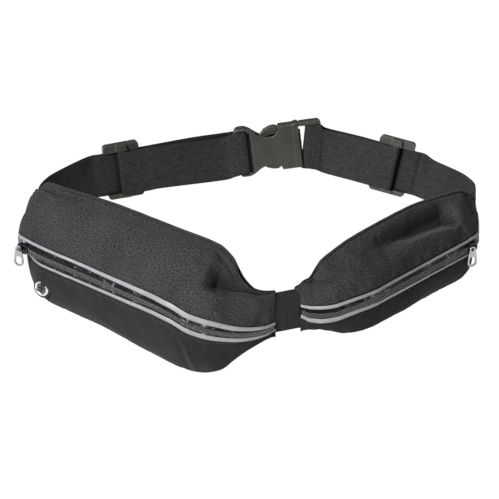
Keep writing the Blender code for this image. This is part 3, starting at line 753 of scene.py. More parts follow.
SMALL = Pouch("small", "right_half", [
    (0.00, 40.0, -99.0, 42.0, -103.0, 20.5, -2.2, 6.2, -20.5),
    (0.015, 42.9, -97.6, 45.8, -103.8, 23.6, -3.2, 6.9, -20.8),
    (0.03, 45.8, -96.2, 49.5, -104.5, 24.8, -4.2, 7.6, -21.0),
    (0.045, 48.6, -94.6, 54.0, -105.0, 25.2, -4.3, 7.9, -21.5),
    (0.06, 51.4, -93.0, 58.5, -105.5, 29.6, -4.2, 8.2, -22.0),
    (0.10, 58.2, -87.8, 69.5, -105.0, 38.3, -3.0, 8.2, -25.0),
    (0.15, 66.1, -80.0, 82.0, -101.5, 41.0, -0.2, 8.0, -30.0),
    (0.20, 73.5, -72.5, 93.0, -96.8, 43.0, 1.6, 7.8, -33.0),
    (0.27, 80.5, -64.8, 104.0, -89.3, 44.0, 2.2, 7.8, -34.0),
    (0.34, 91.1, -53.6, 114.6, -78.0, 44.5, 1.9, 7.8, -34.5),
    (0.60, 129.5, -12.9, 153.0, -36.7, 43.5, 0.7, 7.8, -37.0),
    (0.83, 164.2, 18.9, 186.0, -1.3, 38.0, -0.4, 7.8, -35.8),
    (0.86, 168.6, 24.0, 190.2, 3.2, 36.2, -0.55, 7.7, -35.2),
    (0.89, 173.0, 30.0, 192.8, 9.5, 33.5, -0.6, 7.2, -34.0),
    (0.94, 180.0, 40.6, 193.2, 24.0, 25.5, -0.8, 6.6, -29.5),
    (0.98, 184.4, 49.4, 192.4, 42.5, 17.0, -0.9, 5.6, -22.0),
    (1.00, 186.0, 54.0, 190.4, 53.0, 12.5, -1.0, 5.0, -18.5),
])


def loft_shares(count):
    """Shares along a pouch, closer together towards its ends."""
    even = np.linspace(0, 1, count)
    return even - 0.144 * np.sin(2 * np.pi * even) / (2 * np.pi)


def bezier(knots, t):
    """A point of the cubic curve of four knots."""
    a, b, c, d = (np.asarray(k, float) for k in knots)
    s = 1 - t
    return s ** 3 * a + 3 * s * s * t * b + 3 * s * t * t * c + t ** 3 * d


def upper_knots(pouch, share):
    """Depth and height of the curve down the upper panel, from the top edge to the zip band."""
    top, middle, half = pouch.read(share)[4:7]
    back, _, common = pouch.tuck(share)
    near, far = pouch.edge_depth(share), pouch.depth(share) - BAND_ROUND - back * common
    low = middle + 0.93 * half
    return [(near, top), (near + 0.42 * (far - near), top),
            (near + 0.92 * (far - near), low + 0.5 * (top - low)), (far - 0.2, low)]


def lower_knots(pouch, share):
    """Depth and height of the curve down the lower panel, from the zip band to the bottom edge."""
    middle, half, bottom = pouch.read(share)[5:8]
    back, down, _ = pouch.tuck(share)
    near, far = pouch.edge_depth(share), pouch.depth(share) - BAND_ROUND - back
    high = middle - 0.93 * half - down
    drop = high - bottom
    return [(far - 0.2, high), (far + 0.8, bottom + 0.3 * drop),
            (near + 0.7 * (far - near), bottom - 0.22 * drop), (near, bottom + 0.04 * drop)]


def surface_rows(pouch, knots_of, shares, ts, press):
    """Points of a panel. press(share, t, place) is how far it stands out of its loft.

    The upper panel of the small pouch laps over the front webbing."""
    rows = np.zeros((len(shares), len(ts), 3))
    for i, share in enumerate(shares):
        knots = knots_of(pouch, share)
        for j, t in enumerate(ts):
            depth, height = bezier(knots, t)
            rows[i, j] = pouch.place(share, depth, height)
    if pouch is SMALL and knots_of is upper_knots:
        lap = np.outer(1 - ramp(np.asarray(shares), 0, 0.045), 1 - ramp(np.asarray(ts), 0.1, 0.7))
        rows[:, :, 0] -= 5.0 * lap
        rows[:, :, 2] -= 1.0 * lap
    normals = normals_of(rows)
    out = np.array(pouch.out(0.5))
    if normals[len(shares) // 2, len(ts) // 2] @ out < 0:
        normals = -normals
    for i, share in enumerate(shares):
        for j, t in enumerate(ts):
            rows[i, j] += normals[i, j] * press(share, t, rows[i, j])
    return rows


def pinned(share, t):
    """0 on a panel's four edges, 1 inside."""
    ends = ramp(share, 0, 0.03) * ramp(1 - share, 0, 0.03)
    return float(ends * ramp(t, 0, 0.06) * ramp(1 - t, 0, 0.06))


def seam_puckers(share, t, size, seed):
    """Short ripples that run away from the top and bottom seams and the two ends."""
    near_seam = bell(t, 0.10) + bell(1 - t, 0.10)
    near_end = bell(share, 0.05) + bell(1 - share, 0.05)
    along = ripple((share * 300, 0, 0), size, seed)
    across = ripple((0, t * 60, 0), size * 1.3, seed + 4)
    return 0.9 * near_seam * along + 1.0 * near_end * across


# Each press gives how far a panel stands out of its loft. share runs from the front webbing to
# the outer end, t from the panel's upper edge to its lower one, and place is the point itself.

def big_upper_press(share, t, place):
    """Fullness, a valley under the top edge, and the fold where the pouch narrows."""
    valley = -4.6 * bell(t - 0.11, 0.055) * (0.45 + 0.55 * ramp(share, 0.2, 0.8))
    crown = 1.2 * math.sin(math.pi * t) * ramp(share, 0.2, 0.35)
    above = place[2] - 19.8 - (share - 0.05) * 76.0
    fade = ramp(share, 0.028, 0.06) * ramp(0.195 - share, 0, 0.055) * min(1.0, t / 0.38)
    hollow = -12.0 * fade * bell(above, 24.0 if above > 0 else 1.6)
    lip = 3.0 * fade * bell(above + 4.4, 3.0)
    broad = 0.8 * ripple(place, 42.0, 1.0) + 0.3 * ripple(place, 15.0, 2.0)
    moved = valley + crown + hollow + lip + broad + seam_puckers(share, t, 9.0, 3.0)
    return moved * pinned(share, t)


def big_lower_press(share, t, place):
    """A short fold above the pouch's lowest point, with a dip beside it."""
    line = share - 0.216 - 0.026 * bell(t - 0.05, 0.12)
    span = ramp(t, 0.06, 0.25) * ramp(0.66 - t, 0, 0.3)
    fold = 1.5 * span * bell(line + 0.008, 0.009)
    dip = -2.0 * span * bell(line - 0.014, 0.014)
    broad = 1.1 * ripple(place, 38.0, 5.0) + 0.4 * ripple(place, 14.0, 6.0)
    return (fold + dip + broad + seam_puckers(share, t, 10.0, 7.0)) * pinned(share, t)


def small_upper_press(share, t, place):
    """A long hollow with a firm lower edge, deepest near the outer end, and folds at both ends."""
    length = 0.66 * ramp(share, 0.16, 0.44) + 0.34 * ramp(share, 0.35, 0.72)
    length *= ramp(0.80 - share, 0, 0.055)
    low_edge = 0.66 + 0.05 * math.sin(9 * share)
    soft = 0.10 + 0.28 * (1 - ramp(share, 0.30, 0.58))
    dent = -12.5 * length * ramp(t, 0.03, 0.50) * ramp(low_edge + 0.03 - t, 0, soft)
    crease = place[2] - 24.2 + (share - 0.05) * 22.0
    dent -= 2.2 * bell(crease, 1.7) * ramp(share, 0.02, 0.045) * ramp(0.16 - share, 0, 0.08)
    ridge = 1.6 * length * bell(t - low_edge - 0.10, 0.08)
    ridge += 1.6 * bell(share - 0.815, 0.025) * bell(t - 0.45, 0.3)
    second = -2.6 * bell(share - 0.885, 0.035) * bell(t - 0.5, 0.28)
    gather = 1.3 * bell(share - 0.10, 0.05) * ripple((0, t * 50, 0), 11.0, 9.0)
    broad = 0.8 * ripple(place, 34.0, 8.0) + 0.35 * ripple(place, 13.0, 9.0)
    moved = dent + ridge + second + gather + broad + seam_puckers(share, t, 9.0, 10.0)
    return moved * pinned(share, t)


def small_lower_press(share, t, place):
    broad = 1.0 * ripple(place, 34.0, 11.0) + 0.4 * ripple(place, 13.0, 12.0)
    return (broad + seam_puckers(share, t, 9.0, 13.0)) * pinned(share, t)


def settle(item, wide, high, slack, cap):
    """Lets a panel held at its seams settle as slack cloth. cap is how far a point may move."""
    scene = bpy.context.scene
    held = item.vertex_groups.new(name="held")
    for r in range(high):
        for c in range(wide):
            edge = min(r, high - 1 - r, c, wide - 1 - c)
            held.add([r * wide + c], 1.0 if edge < 2 else 0.0, "REPLACE")
    start = np.array([v.co[:] for v in item.data.vertices])
    cloth = item.modifiers.new("cloth", "CLOTH")
    rules = cloth.settings
    rules.quality = 6
    rules.mass = 0.02
    rules.air_damping = 1.5
    rules.tension_stiffness = 25
    rules.compression_stiffness = 25
    rules.shear_stiffness = 8
    rules.bending_stiffness = 0.08
    rules.vertex_group_mass = "held"
    rules.shrink_min = -slack
    rules.use_pressure = True
    rules.uniform_pressure_force = 0.35
    rules.effector_weights.gravity = 0
    cloth.collision_settings.use_collision = False
    scene.frame_start = 1
    scene.frame_end = CLOTH_FRAMES
    for number in range(1, CLOTH_FRAMES + 1):
        scene.frame_set(number)
    graph = bpy.context.evaluated_depsgraph_get()
    moved = np.array([v.co[:] for v in item.evaluated_get(graph).data.vertices])
    item.modifiers.clear()
    scene.frame_set(1)
    step = moved - start
    size = np.maximum(np.linalg.norm(step, axis=1, keepdims=True), 1e-9)
    step *= cap * MM * np.tanh(size / (cap * MM)) / size
    item.data.vertices.foreach_set("co", (start + step).astype(np.float32).ravel())
    item.data.update()


def thicken(item, thickness, offset):
    """Gives a sheet its thickness. offset is -1 for all of it inwards, 0 for half each way."""
    thick = item.modifiers.new("thickness", "SOLIDIFY")
    thick.thickness = thickness * MM
    thick.offset = offset
    freeze(item)
    item.data.shade_smooth()
    return item


def seam_row(pouch, name, rows, normals, outs, slot):
    """Thread along a seam, standing on the outer side of the fabric."""
    normals = [n if n @ np.array(out) > 0 else -n for n, out in zip(normals, outs)]
    row = stitches(name, rows, normals, SURFACES["thread"], 2.9, 2.1, 0.24)
    finish_piece(row, pouch.body, slot)


def build_panels(pouch, upper_press, lower_press):
    """The upper and lower front panels, each with the stitches along its three seams."""
    shares = loft_shares(121)
    ts = np.linspace(0, 1, PANEL_ACROSS)
    out = pouch.out(0.5)
    parts = (
        ("upper_panel", upper_knots, upper_press, "heather", "heather_fabric", 0.016, 1.5, 1 - SEAM_T),
        ("lower_panel", lower_knots, lower_press, "lower", "lower_fabric", 0.010, 0.8, SEAM_T),
    )
    for name, knots, press, look, slot, slack, most, seam in parts:
        rows = surface_rows(pouch, knots, shares, ts, press)
        item = face_out(grid(f"{pouch.name}_{name}_cloth", rows, SURFACES[look]), out)
        settle(item, len(ts), len(shares), slack, most)
        settled = np.array([v.co[:] for v in item.data.vertices]).reshape(rows.shape) / MM
        thicken(item, PANEL_THICK, -1.0)
        finish_piece(item, pouch.body, slot, f"{pouch.name}_{name}")
        normals = normals_of(settled)
        keep = [i for i, share in enumerate(shares) if 0.02 <= share <= 0.98]
        column = int(np.argmin(np.abs(ts - seam)))
        seam_row(pouch, f"{pouch.name}_{name}_stitches", settled[keep, column], normals[keep, column],
                 [out] * len(keep), slot)
        for end, share in (("inner", 0.022), ("outer", 0.978)):
            i = int(np.argmin(np.abs(shares - share)))
            seam_row(pouch, f"{pouch.name}_{name}_{end}_stitches", settled[i], normals[i],
                     [pouch.out(share)] * len(ts), slot)


def build_back(pouch):
    """The sheet against the wearer, a little slack."""
    shares = loft_shares(81)
    rows = []
    for share in shares:
        top = pouch.read(share)[4]
        bottom = bezier(lower_knots(pouch, share), 1.0)[1]
        row = []
        for t in np.linspace(0, 1, 17):
            height = bottom + (top - bottom) * t
            swell = 0.5 + 1.1 * math.sin(math.pi * t) * ripple((share * 300, 0, height), 30.0, 4.0)
            depth = 0.6 - min(swell, 0.9) * math.sin(math.pi * t)
            row.append(pouch.place(share, depth, height))
        rows.append(row)
    item = grid(f"{pouch.name}_back_cloth", rows, SURFACES["back"])
    thicken(item, PANEL_THICK, 0.0)
    finish_piece(item, pouch.body, "back_fabric", f"{pouch.name}_back_panel")


def build_piping(pouch, first, last):
    """The rolled seam along the top edge."""
    shares = np.linspace(first, last, 120)
    points = []
    for share in shares:
        wander = 0.3 * ripple((share * 300, 0, 0), 16.0, 2.0)
        points.append(pouch.place(share, WEB_DEPTH + wander, pouch.read(share)[4] + 0.3))
    ends = np.minimum(shares - first, last - shares)
    radius = 1.35 * ramp(ends, -0.004, 0.02) + 0.15
    item = tube(f"{pouch.name}_rolled_seam", points, radius, SURFACES["heather"], 12)
    finish_piece(item, pouch.body, "back_fabric", f"{pouch.name}_top_piping")


def strip_edge(pouch, way, share):
    """Where a reflective strip begins, in half heights of the band. The strips narrow outwards."""
    if pouch is BIG:
        return 0.50 + 0.24 * float(ramp(share, 0.15, 0.75))
    if way > 0:
        return 0.66 + 0.06 * float(ramp(share, 0.1, 0.6))
    return 0.46 + 0.22 * float(ramp(share, 0.1, 0.8))


def band_sheet(pouch, name, way, edges, lift, thickness, look, columns, waver):
    """A strip of the zipper band between two rises, given in half heights.

    A rise of None is the inner edge of the reflective strip on that side."""
    low, high = edges
    rows = []
    for share in np.linspace(0, 1, 181):
        half = pouch.half(share)
        inner = way * strip_edge(pouch, way, share)
        first = inner if low is None else low
        last = inner + way * 0.04 if high is None else high
        row = []
        for across in np.linspace(0, 1, columns):
            rise = (first + (last - first) * across) * half
            rise += waver * 0.5 * ripple((share * 300, first * 9, 0), 14.0, 3.0)
            curl = lift * (0.55 + 0.45 * math.sin(math.pi * across))
            wave = waver * ripple((share * 300, rise, 0), 9.0, 6.0)
            row.append(pouch.band_point(share, rise, curl + wave))
        rows.append(row)
    item = face_out(grid(f"{pouch.name}_{name}", rows, SURFACES[look]), pouch.out(0.5))
    return thicken(item, thickness, 0.0)


def coil(pouch, name, side):
    """The nylon coil of one side: a flattened spiral, meshed with the other one."""
    per_turn = 8
    shares = np.linspace(0.004, 0.996, 500)
    line = np.array([pouch.band_point(s, -0.1 * pouch.half(s)) for s in shares])
    along = lengths(line) / MM
    outs = np.array([pouch.out(s) for s in shares])
    points = []
    for k in range(int(along[-1] / COIL_PITCH) * per_turn):
        at = k * COIL_PITCH / per_turn
        turn = 2 * math.pi * k / per_turn + (math.pi if side > 0 else 0)
        out = at_length(along, outs, at).normalized()
        rise = Vector((0, 0, side * 1.0 + COIL_WIDE * math.cos(turn)))
        points.append(at_length(along, line, at) + rise + out * (COIL_DEEP * math.sin(turn) + 0.1))
    return tube(f"{pouch.name}_{name}", points, COIL_WIRE, SURFACES["coil"], 5)


def build_zipper(pouch):
    """Reflective strips, tapes and coils of both sides, and the fabric behind them."""
    shares = np.linspace(0.01, 0.99, 160)
    for name, way in (("upper", 1), ("lower", -1)):
        strip = band_sheet(pouch, f"{name}_strip", way, (None, way * 1.0), 0.9, 0.5, "reflective", 7, 0.22)
        finish_piece(strip, pouch.body, "reflective_tape", f"{pouch.name}_{name}_reflective_strip")
        tape = band_sheet(pouch, f"{name}_tape", way, (way * 0.16, None), 0.35, 0.5, "tape", 9, 0.35)
        finish_piece(tape, pouch.body, "zip_tape", f"{pouch.name}_{name}_zip_tape")
        teeth = coil(pouch, f"{name}_coil", way)
        finish_piece(teeth, pouch.body, "zip_teeth", f"{pouch.name}_{name}_zip_teeth")
        inner_rises = [strip_edge(pouch, way, s) + 0.05 for s in shares]
        for number, rises in enumerate((inner_rises, [0.94] * len(shares))):
            points = [pouch.band_point(s, way * r * pouch.half(s), 1.0) for s, r in zip(shares, rises)]
            row = stitches(f"{pouch.name}_{name}_strip_stitches_{number}", points,
                           [pouch.out(s) for s in shares], SURFACES["pale_thread"], 2.4, 1.8, 0.16)
            finish_piece(row, pouch.body, "reflective_tape")
    backing = band_sheet(pouch, "zip_backing", 1, (-0.3, 0.3), -1.3, 0.4, "back", 5, 0.0)
    finish_piece(backing, pouch.body, "zip_tape")


def band_frame(pouch, share, ahead):
    """Frame on the zipper band: X along it towards ahead, Y out of the loop, Z up."""
    middle = pouch.read(share)[5]
    here = pouch.place(share, pouch.depth(share), middle)
    there = pouch.place(ahead, pouch.depth(ahead), pouch.read(ahead)[5])
    along = (there - here).normalized()
    up = (Vector((0, 0, 1)) - along * along.z).normalized()
    out = up.cross(along)
    if out.dot(pouch.out(share)) < 0:
        along, out = -along, -out
    return frame_at(here, along, out, up)


def extruded(outline, low, high, placed):
    """An outline in X and Y, extruded along Z between low and high."""
    points = [(x, y, z) for z in (low, high) for x, y in outline]
    count = len(outline)
    faces = [tuple(range(count)), tuple(range(2 * count - 1, count - 1, -1))]
    faces += [(i, (i + 1) % count, count + (i + 1) % count, count + i) for i in range(count)]
    return outwards(add_mesh("solid", points, faces, None, None, placed))


def build_slider(pouch, share, ahead):
    """Two plates with side rails, a wedge between them and a hoop that holds the pull."""
    placed = band_frame(pouch, share, ahead)
    run = pouch.band_point(ahead, 0) - pouch.band_point(share, 0)
    toward = 1 if placed.col[0].xyz.dot(run) > 0 else -1
    half = SLIDER_HALF
    edge = ((-half, 2.6), (1.4 - half, 3.9), (0.5, 4.4), (half - 1.6, 4.2), (half, 2.9))
    outline = [(x * toward, z) for x, z in edge]
    outline += [(x, -z) for x, z in reversed(outline)]
    solids = [outline_solid(outline, 1.3, 2.4, placed), outline_solid(outline, -2.4, -1.3, placed)]
    for side in (-1, 1):
        rail = [(-3.6, side * 3.1), (3.8, side * 3.4), (3.8, side * 4.3), (-3.6, side * 4.0)]
        rail = [(x * toward, z) for x, z in rail]
        solids.append(outline_solid(rail, 1.6, 2.4, placed))
        solids.append(outline_solid(rail, -0.4, 1.8, placed))
    solids.append(block((-1.6, -2.0, -0.4), (3.4, 2.0, 0.4), placed))
    hoop = arc((0, 2.2), 3.4, 0, 180, 12) + arc((0, 2.2), 2.0, 180, 0, 12)
    solids.append(extruded(hoop, -1.0, 1.0, placed))
    body = moulded(f"{pouch.name}_slider_body", solids, 0.16, 4, SURFACES["gunmetal"])
    finish_piece(body, f"{pouch.name}_slider", "nickel", f"{pouch.name}_zip_slider")
    build_pull(pouch, placed @ Matrix.Translation((2.6 * MM, 0, 0)))


def build_pull(pouch, pivot):
    """A flat ring pull: a small round eye above, a wide oval hole below."""
    away = Matrix.Translation((0, PULL_LOW * MM, 0))
    twist = Matrix.Rotation(math.radians(PULL_TURN[pouch.name]), 4, "Z")
    placed = pivot @ away @ twist @ away.inverted()
    outline = arc((0, 0), 2.8, 155, 25, 12) + [(3.0, -2.0), (3.6, -5.0)]
    outline += arc((0, PULL_FOOT + 0.9), 4.3, 10, -190, 22) + [(-3.6, -5.0), (-3.0, -2.0)]
    body = outline_solid(outline, PULL_LOW, PULL_LOW + PULL_THICK, placed)
    cut(body, disc(1.5, PULL_LOW - 1, PULL_LOW + 3, placed, 28))
    hole = arc((0, PULL_FOOT + 3.9), 2.4, 0, 180, 12) + arc((0, PULL_FOOT + 0.8), 2.6, 180, 360, 12)
    cut(body, outline_solid(hole, PULL_LOW - 1, PULL_LOW + 3, placed))
    item = moulded(f"{pouch.name}_ring_pull", [body], 0.13, 5, SURFACES["nickel"])
    finish_piece(item, f"{pouch.name}_pull", "nickel", f"{pouch.name}_zip_pull")


def lathe(name, profile, placed, surface):
    """A ring from (radius, height) points, turned about Y."""
    sides, wide = 56, len(profile)
    points = [(r * math.cos(turn), h, r * math.sin(turn)) for turn in turns(sides) for r, h in profile]
    faces = []
    for k in range(sides):
        here, after = k * wide, (k + 1) % sides * wide
        for j in range(wide):
            nearby = (j + 1) % wide
            faces.append((here + j, here + nearby, after + nearby, after + j))
    item = outwards(add_mesh(name, points, faces, surface, None, placed))
    soft = item.modifiers.new("soft", "SUBSURF")
    soft.levels = soft.render_levels = 1
    freeze(item)
    item.data.shade_smooth()
    return item


def build_port(pouch, share, t):
    """Earphone port: a soft rim, a polished ring and a rubber disc slit in a cross."""
    def panel_point(at, down):
        return Vector(pouch.place(at, *bezier(lower_knots(pouch, at), down)))

    # The panel's own direction is read where it is still straight
    straight = share - 0.10
    here, middle = panel_point(share, t), panel_point(straight, t)
    up = (middle - panel_point(straight, t + 0.06)).normalized()
    out = up.cross((here - middle).normalized()).normalized()
    if out.dot(pouch.out(share)) < 0:
        out = -out
    # The rubber holds the port up, more upright than the slack fabric round it
    out = (out + Vector((-0.10, -0.30, 0.42))).normalized()
    across = out.cross(up).normalized()
    up = across.cross(out).normalized()
    placed = frame_at(here + out * 1.3, across, out, up)
    rim = [(6.2, -1.4), (9.0, -1.4), (9.1, -0.3), (8.3, 0.6), (7.2, 0.9), (6.2, 0.4)]
    rim = lathe("earphone_port_rim", rim, placed, SURFACES["rubber"])
    finish_piece(rim, pouch.body, "rubber")
    ring = [(4.3, 0.0), (4.5, 1.1), (5.1, 1.75), (6.0, 1.8), (6.8, 1.3), (7.1, 0.4), (6.6, -0.6), (4.8, -0.8)]
    ring = lathe("earphone_ring", ring, placed, SURFACES["chrome"])
    finish_piece(ring, pouch.body, "nickel", "earphone_port_ring")
    washer = [(4.4, -4.6), (6.9, -4.6), (7.0, -4.0), (6.4, -3.6), (4.5, -3.6)]
    washer = lathe("earphone_back_washer", washer, placed, SURFACES["nickel"])
    finish_piece(washer, pouch.body, "nickel", "earphone_port_washer")
    body = disc(4.5, -1.2, 0.9, placed)
    for turn in (0, 90):
        turned = placed @ Matrix.Rotation(math.radians(turn), 4, "Y")
        cut(body, block((-3.6, -6, -0.5), (3.6, 6, 0.5), turned))
    petals = moulded("earphone_petals", [body], 0.14, 4, SURFACES["petals"])
    finish_piece(petals, pouch.body, "rubber", "earphone_port_rubber")


# ---------------------------------------------------------------- webbing

def web_rows(stops, steps):
    """Smooth places and cross directions along webbing stops, and the length up to each place."""
    places = catmull([place for place, _ in stops], steps)
    ups = [up.normalized() for up in catmull([up for _, up in stops], steps)]
    return places, ups, lengths(np.array(places))


def web(name, stops, seed, steps=WEB_STEPS):
    """Woven tape with rounded, slightly thicker selvedges."""
    places, ups, along = web_rows(stops, steps)
    half = WEB_WIDTH / 2
    sweep = np.linspace(-1, 1, WEB_COLUMNS)
    section = [(face, face * v) for face in (1, -1) for v in sweep]
    rows, uvs = [], []
    for i, (here, up) in enumerate(zip(places, ups)):
        out = up.cross(travel(places, i)).normalized()
        row = []
        for face, v in section:
            body = WEB_THICK / 2 * (1 - 0.55 * abs(v) ** 14) * (1 + 0.10 * bell(abs(v) - 0.93, 0.05))
            sway = 0.12 * ripple(here + up * (v * half), 11.0, seed)
            reach = v * half * (1 - 0.004 * abs(v) ** 6)
            row.append(here + up * reach + out * (face * body + sway))
            uvs.append((along[i], (v + 1) * half * MM))
        rows.append(row)
    item = grid(name, rows, SURFACES["webbing"], closed=True, uvs=uvs)
    item.data.set_sharp_from_angle(angle=math.radians(70))
    return item


class Stretch:
    """A straight piece of rear strap: points are given along, inwards and up from a centre."""

    def __init__(self, centre, direction, lean, skew=0.0):
        self.centre = Vector(centre)
        self.along = unit(direction)
        up = (UPRIGHT - self.along * self.along.z).normalized()
        out = up.cross(self.along)
        if out.y < 0:
            out = -out
        turn = math.radians(lean)
        self.out = out * math.cos(turn) - up * math.sin(turn)
        up = up * math.cos(turn) + out * math.sin(turn)
        self.up = (up + self.along * skew).normalized()

    def turned(self, along, up, degrees):
        """The same plane from another centre, with its along direction turned downwards."""
        turn = math.radians(degrees)
        other = copy.copy(self)
        other.centre = self.centre + self.along * along + self.up * up
        other.along = self.along * math.cos(turn) - self.up * math.sin(turn)
        other.up = self.up * math.cos(turn) + self.along * math.sin(turn)
        return other

    def stop(self, along, inward, up=0.0):
        place = self.centre + self.along * along - self.out * inward + self.up * up
        return place, self.up

    def frame(self, up=0.0):
        return frame_at(self.centre + self.up * up, self.along, self.out, self.up)


def wrap_stops(buckle, edge, side, drop):
    """Webbing round a buckle bar: outer side first, then round the edge, then inside."""
    stops = [buckle.stop(edge + side * 16, -WRAP, -drop)]
    stops += [buckle.stop(edge + side * x, -WRAP) for x in (10, 1.5)]
    for angle in map(math.radians, (-45, 0, 45)):
        stops.append(buckle.stop(edge - side * WRAP * math.cos(angle), WRAP * math.sin(angle)))
    return stops + [buckle.stop(edge + side * x, WRAP) for x in (1.5, 4)]


def return_stops(stretch):
    """The sewn end of a strap: tail, loop round the triglide's middle bar, way back."""
    middle = 1.5 * WEB_THICK + 2 * WEB_GAP + BAR_DEPTH / 2
    radius = BAR_DEPTH / 2 + WEB_GAP + WEB_THICK / 2
    turn_at = BAR_DEPTH / 2 - 2.5
    near = middle + radius
    tail = near - WEB_THICK - 0.1
    stops = [(TAIL_END, tail), (15, tail), (6, middle - radius + 0.3), (2, middle - radius)]
    for turn in map(math.radians, (-90, -45, 0, 45, 90)):
        stops.append((turn_at - radius * math.cos(turn), middle + radius * math.sin(turn)))
    stops += [(x, near) for x in (2, 10, 20, 32)]
    return [stretch.stop(x, inward) for x, inward in stops]


def build_triglide(name, stretch, body):
    """Frame with two outer bars outside the strap and a raised middle bar inside it."""
    placed = stretch.frame(STRAP_LOW)
    half_long, half_wide = TRIGLIDE_HALF
    round_x, round_z = half_long - TRIGLIDE_ROUND, half_wide - TRIGLIDE_ROUND
    outer = WEB_THICK / 2 + 0.25
    inner_bar = WEB_THICK / 2 + 0.6 + WEB_THICK + BAR_DEPTH
    solids = []
    for side, wall in ((-1, TRIGLIDE_WALL), (1, TOP_WALL)):
        slot = half_wide - wall
        rail = arc((round_x, side * round_z), TRIGLIDE_ROUND, 0, side * 90, 8)
        rail += arc((-round_x, side * round_z), TRIGLIDE_ROUND, side * 90, side * 180, 8)
        rail += [(-half_long, side * (slot - 0.6)), (half_long, side * (slot - 0.6))]
        solids.append(outline_solid(rail, -2.9, outer + BAR_DEPTH, placed))
        tip = side * (half_wide - 0.6)
        knuckle = [(-5.5, side * slot), (5.5, side * slot), (4.2, tip), (-4.2, tip)]
        solids.append(outline_solid(knuckle, 0.1 - inner_bar, -2.0, placed))
    for low in (-half_long, half_long - TRIGLIDE_WALL):
        solids.append(block((low, outer, -21), (low + TRIGLIDE_WALL, outer + BAR_DEPTH, 21), placed))
    solids.append(block((-2.5, -inner_bar, -21), (2.5, -inner_bar + BAR_DEPTH, 20), placed))
    item = moulded(name + "_frame", solids, 0.34, 7, SURFACES["plastic"])
    finish_piece(item, body, "buckle_plastic", name)


def tucked(pouch, height, shares):
    """Stops of webbing inside a pouch's end."""
    return [(pouch.place(share, WEB_DEPTH, height), UPRIGHT) for share in shares]


def build_strap(side, pouch, stretch, bend, straight, wrap, seed):
    """One rear strap: out of the pouch, round two bends, straight on, and round the buckle's bar."""
    first, second, third = bend
    stops = tucked(pouch, 2, (0.965, 0.985, 1))
    stops += [(Vector(first), UPRIGHT), (Vector(second), UPRIGHT)]
    stops.append((Vector(third), (UPRIGHT + stretch.up).normalized()))
    stops += [stretch.stop(x, 0) for x in straight]
    item = web(f"{side}_web", stops + wrap, seed)
    finish_piece(item, f"{side}_half", "webbing", f"{side}_strap")


def build_return(side, stretch, last, crumple):
    """The sewn return, which runs between the triglide and the buckle."""
    stops = return_stops(stretch) + last
    item = web(f"{side}_return_web", stops, 5.0)
    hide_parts(f"{side}_return_strap")
    start, end = (tuple(stretch.stop(x, 0)[0] * MM) for x in crumple)
    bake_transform(item)
    places, ups, along = web_rows(stops, WEB_STEPS)
    along = along / MM
    # The rows are sewn a little way past the turn round the middle bar
    bar = min(range(len(places) // 2), key=lambda i: (places[i] - stretch.centre).dot(stretch.along))
    for number, shift in enumerate((-1.6, 0.0)):
        i = int(np.argmin(np.abs(along - (along[bar] + 18.0 + shift))))
        out = ups[i].cross(travel(places, i)).normalized()
        if out.dot(stretch.out) > 0:
            out = -out
        reach = WEB_WIDTH / 2 - 3.0
        surface_at = places[i] + out * (WEB_THICK / 2 - 0.02)
        line = [surface_at + ups[i] * v for v in np.linspace(-reach, reach, 9)]
        row = stitches(f"{side}_return_stitches_{number}", line, [out] * 9, SURFACES["thread"], 2.3, 1.9, 0.3)
        finish_piece(row, f"{side}_adjuster", "webbing")


def build_straps(buckle):
    """All the webbing, with its two triglides."""
    shares = (0.035, 0.015, 0)
    front = tucked(BIG, 0, shares) + tucked(SMALL, 0, reversed(shares))
    item = web("front_web", front, 2.0, 10)
    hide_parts("front_webbing")
    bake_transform(item)

    left = Stretch(*LEFT_PLANE)
    edge = RECEPTACLE_BAR - BUCKLE_END
    bend = ((-176.5, 60, 1.5), (-168, 77.5, 2), (-148.5, 92.5, 4))
    wrap = wrap_stops(buckle, edge, -1, 0)
    build_strap("left", BIG, left, bend, (-27, -19, -10, 0, 20, 60), wrap, 3.0)
    last = [buckle.stop(edge - 22, WRAP + 0.1, -2.0), buckle.stop(edge - 10.5, WRAP, -0.8),
            buckle.stop(edge - 4, WRAP)]
    build_return("left", left, last, (26, 70))

    right = Stretch(*RIGHT_PLANE)
    hanging = buckle.turned(BUCKLE_END - PLUG_BAR, -3.9, WEB_TURN)
    bend = ((189, 66, 1), (179.5, 82, 1.5), (155, 99.8, 2.4))
    build_strap("right", SMALL, right, bend, (-25, -18, -9, 0, 20, 32), wrap_stops(hanging, 0, 1, 3.0), 4.0)
    last = [hanging.stop(17, WRAP, -3.4), hanging.stop(10, WRAP, -1.0), hanging.stop(4, WRAP)]
    build_return("right", right, last, (24, 44))

    build_triglide("left_triglide", left, "left_adjuster")
    build_triglide("right_triglide", right, "right_adjuster")


# ---------------------------------------------------------------- buckle

def receptacle_outline():
    """The two long edges dip for the latch arms' grips, the upper one deeper, and swell into ears."""
    upper = [(18.6, 19.5), (1.6, 19.5), (0.9, 15.4), (-0.8, 12.4), (-4.0, 11.2), (-10, 11.2),
             (-15.0, 12.8), (-18.4, 15.4), (-21.2, 17.8), (-24.0, 19.8), (-26.8, 21.2)]
    lower = [(18.6, 19.5), (1.6, 19.5), (0.9, 17.0), (-0.8, 14.8), (-5.0, 13.9), (-10, 13.9),
             (-15.0, 15.2), (-18.4, 17.0), (-21.2, 19.0), (-24.0, 20.6), (-26.8, 21.4)]
    ear = [(-29.0, EAR_HALF)] + arc((EAR_ROUND - EAR_END, EAR_HALF - EAR_ROUND), EAR_ROUND, 90, 180, 8)
    return upper + ear + [(x, -z) for x, z in reversed(lower + ear)]


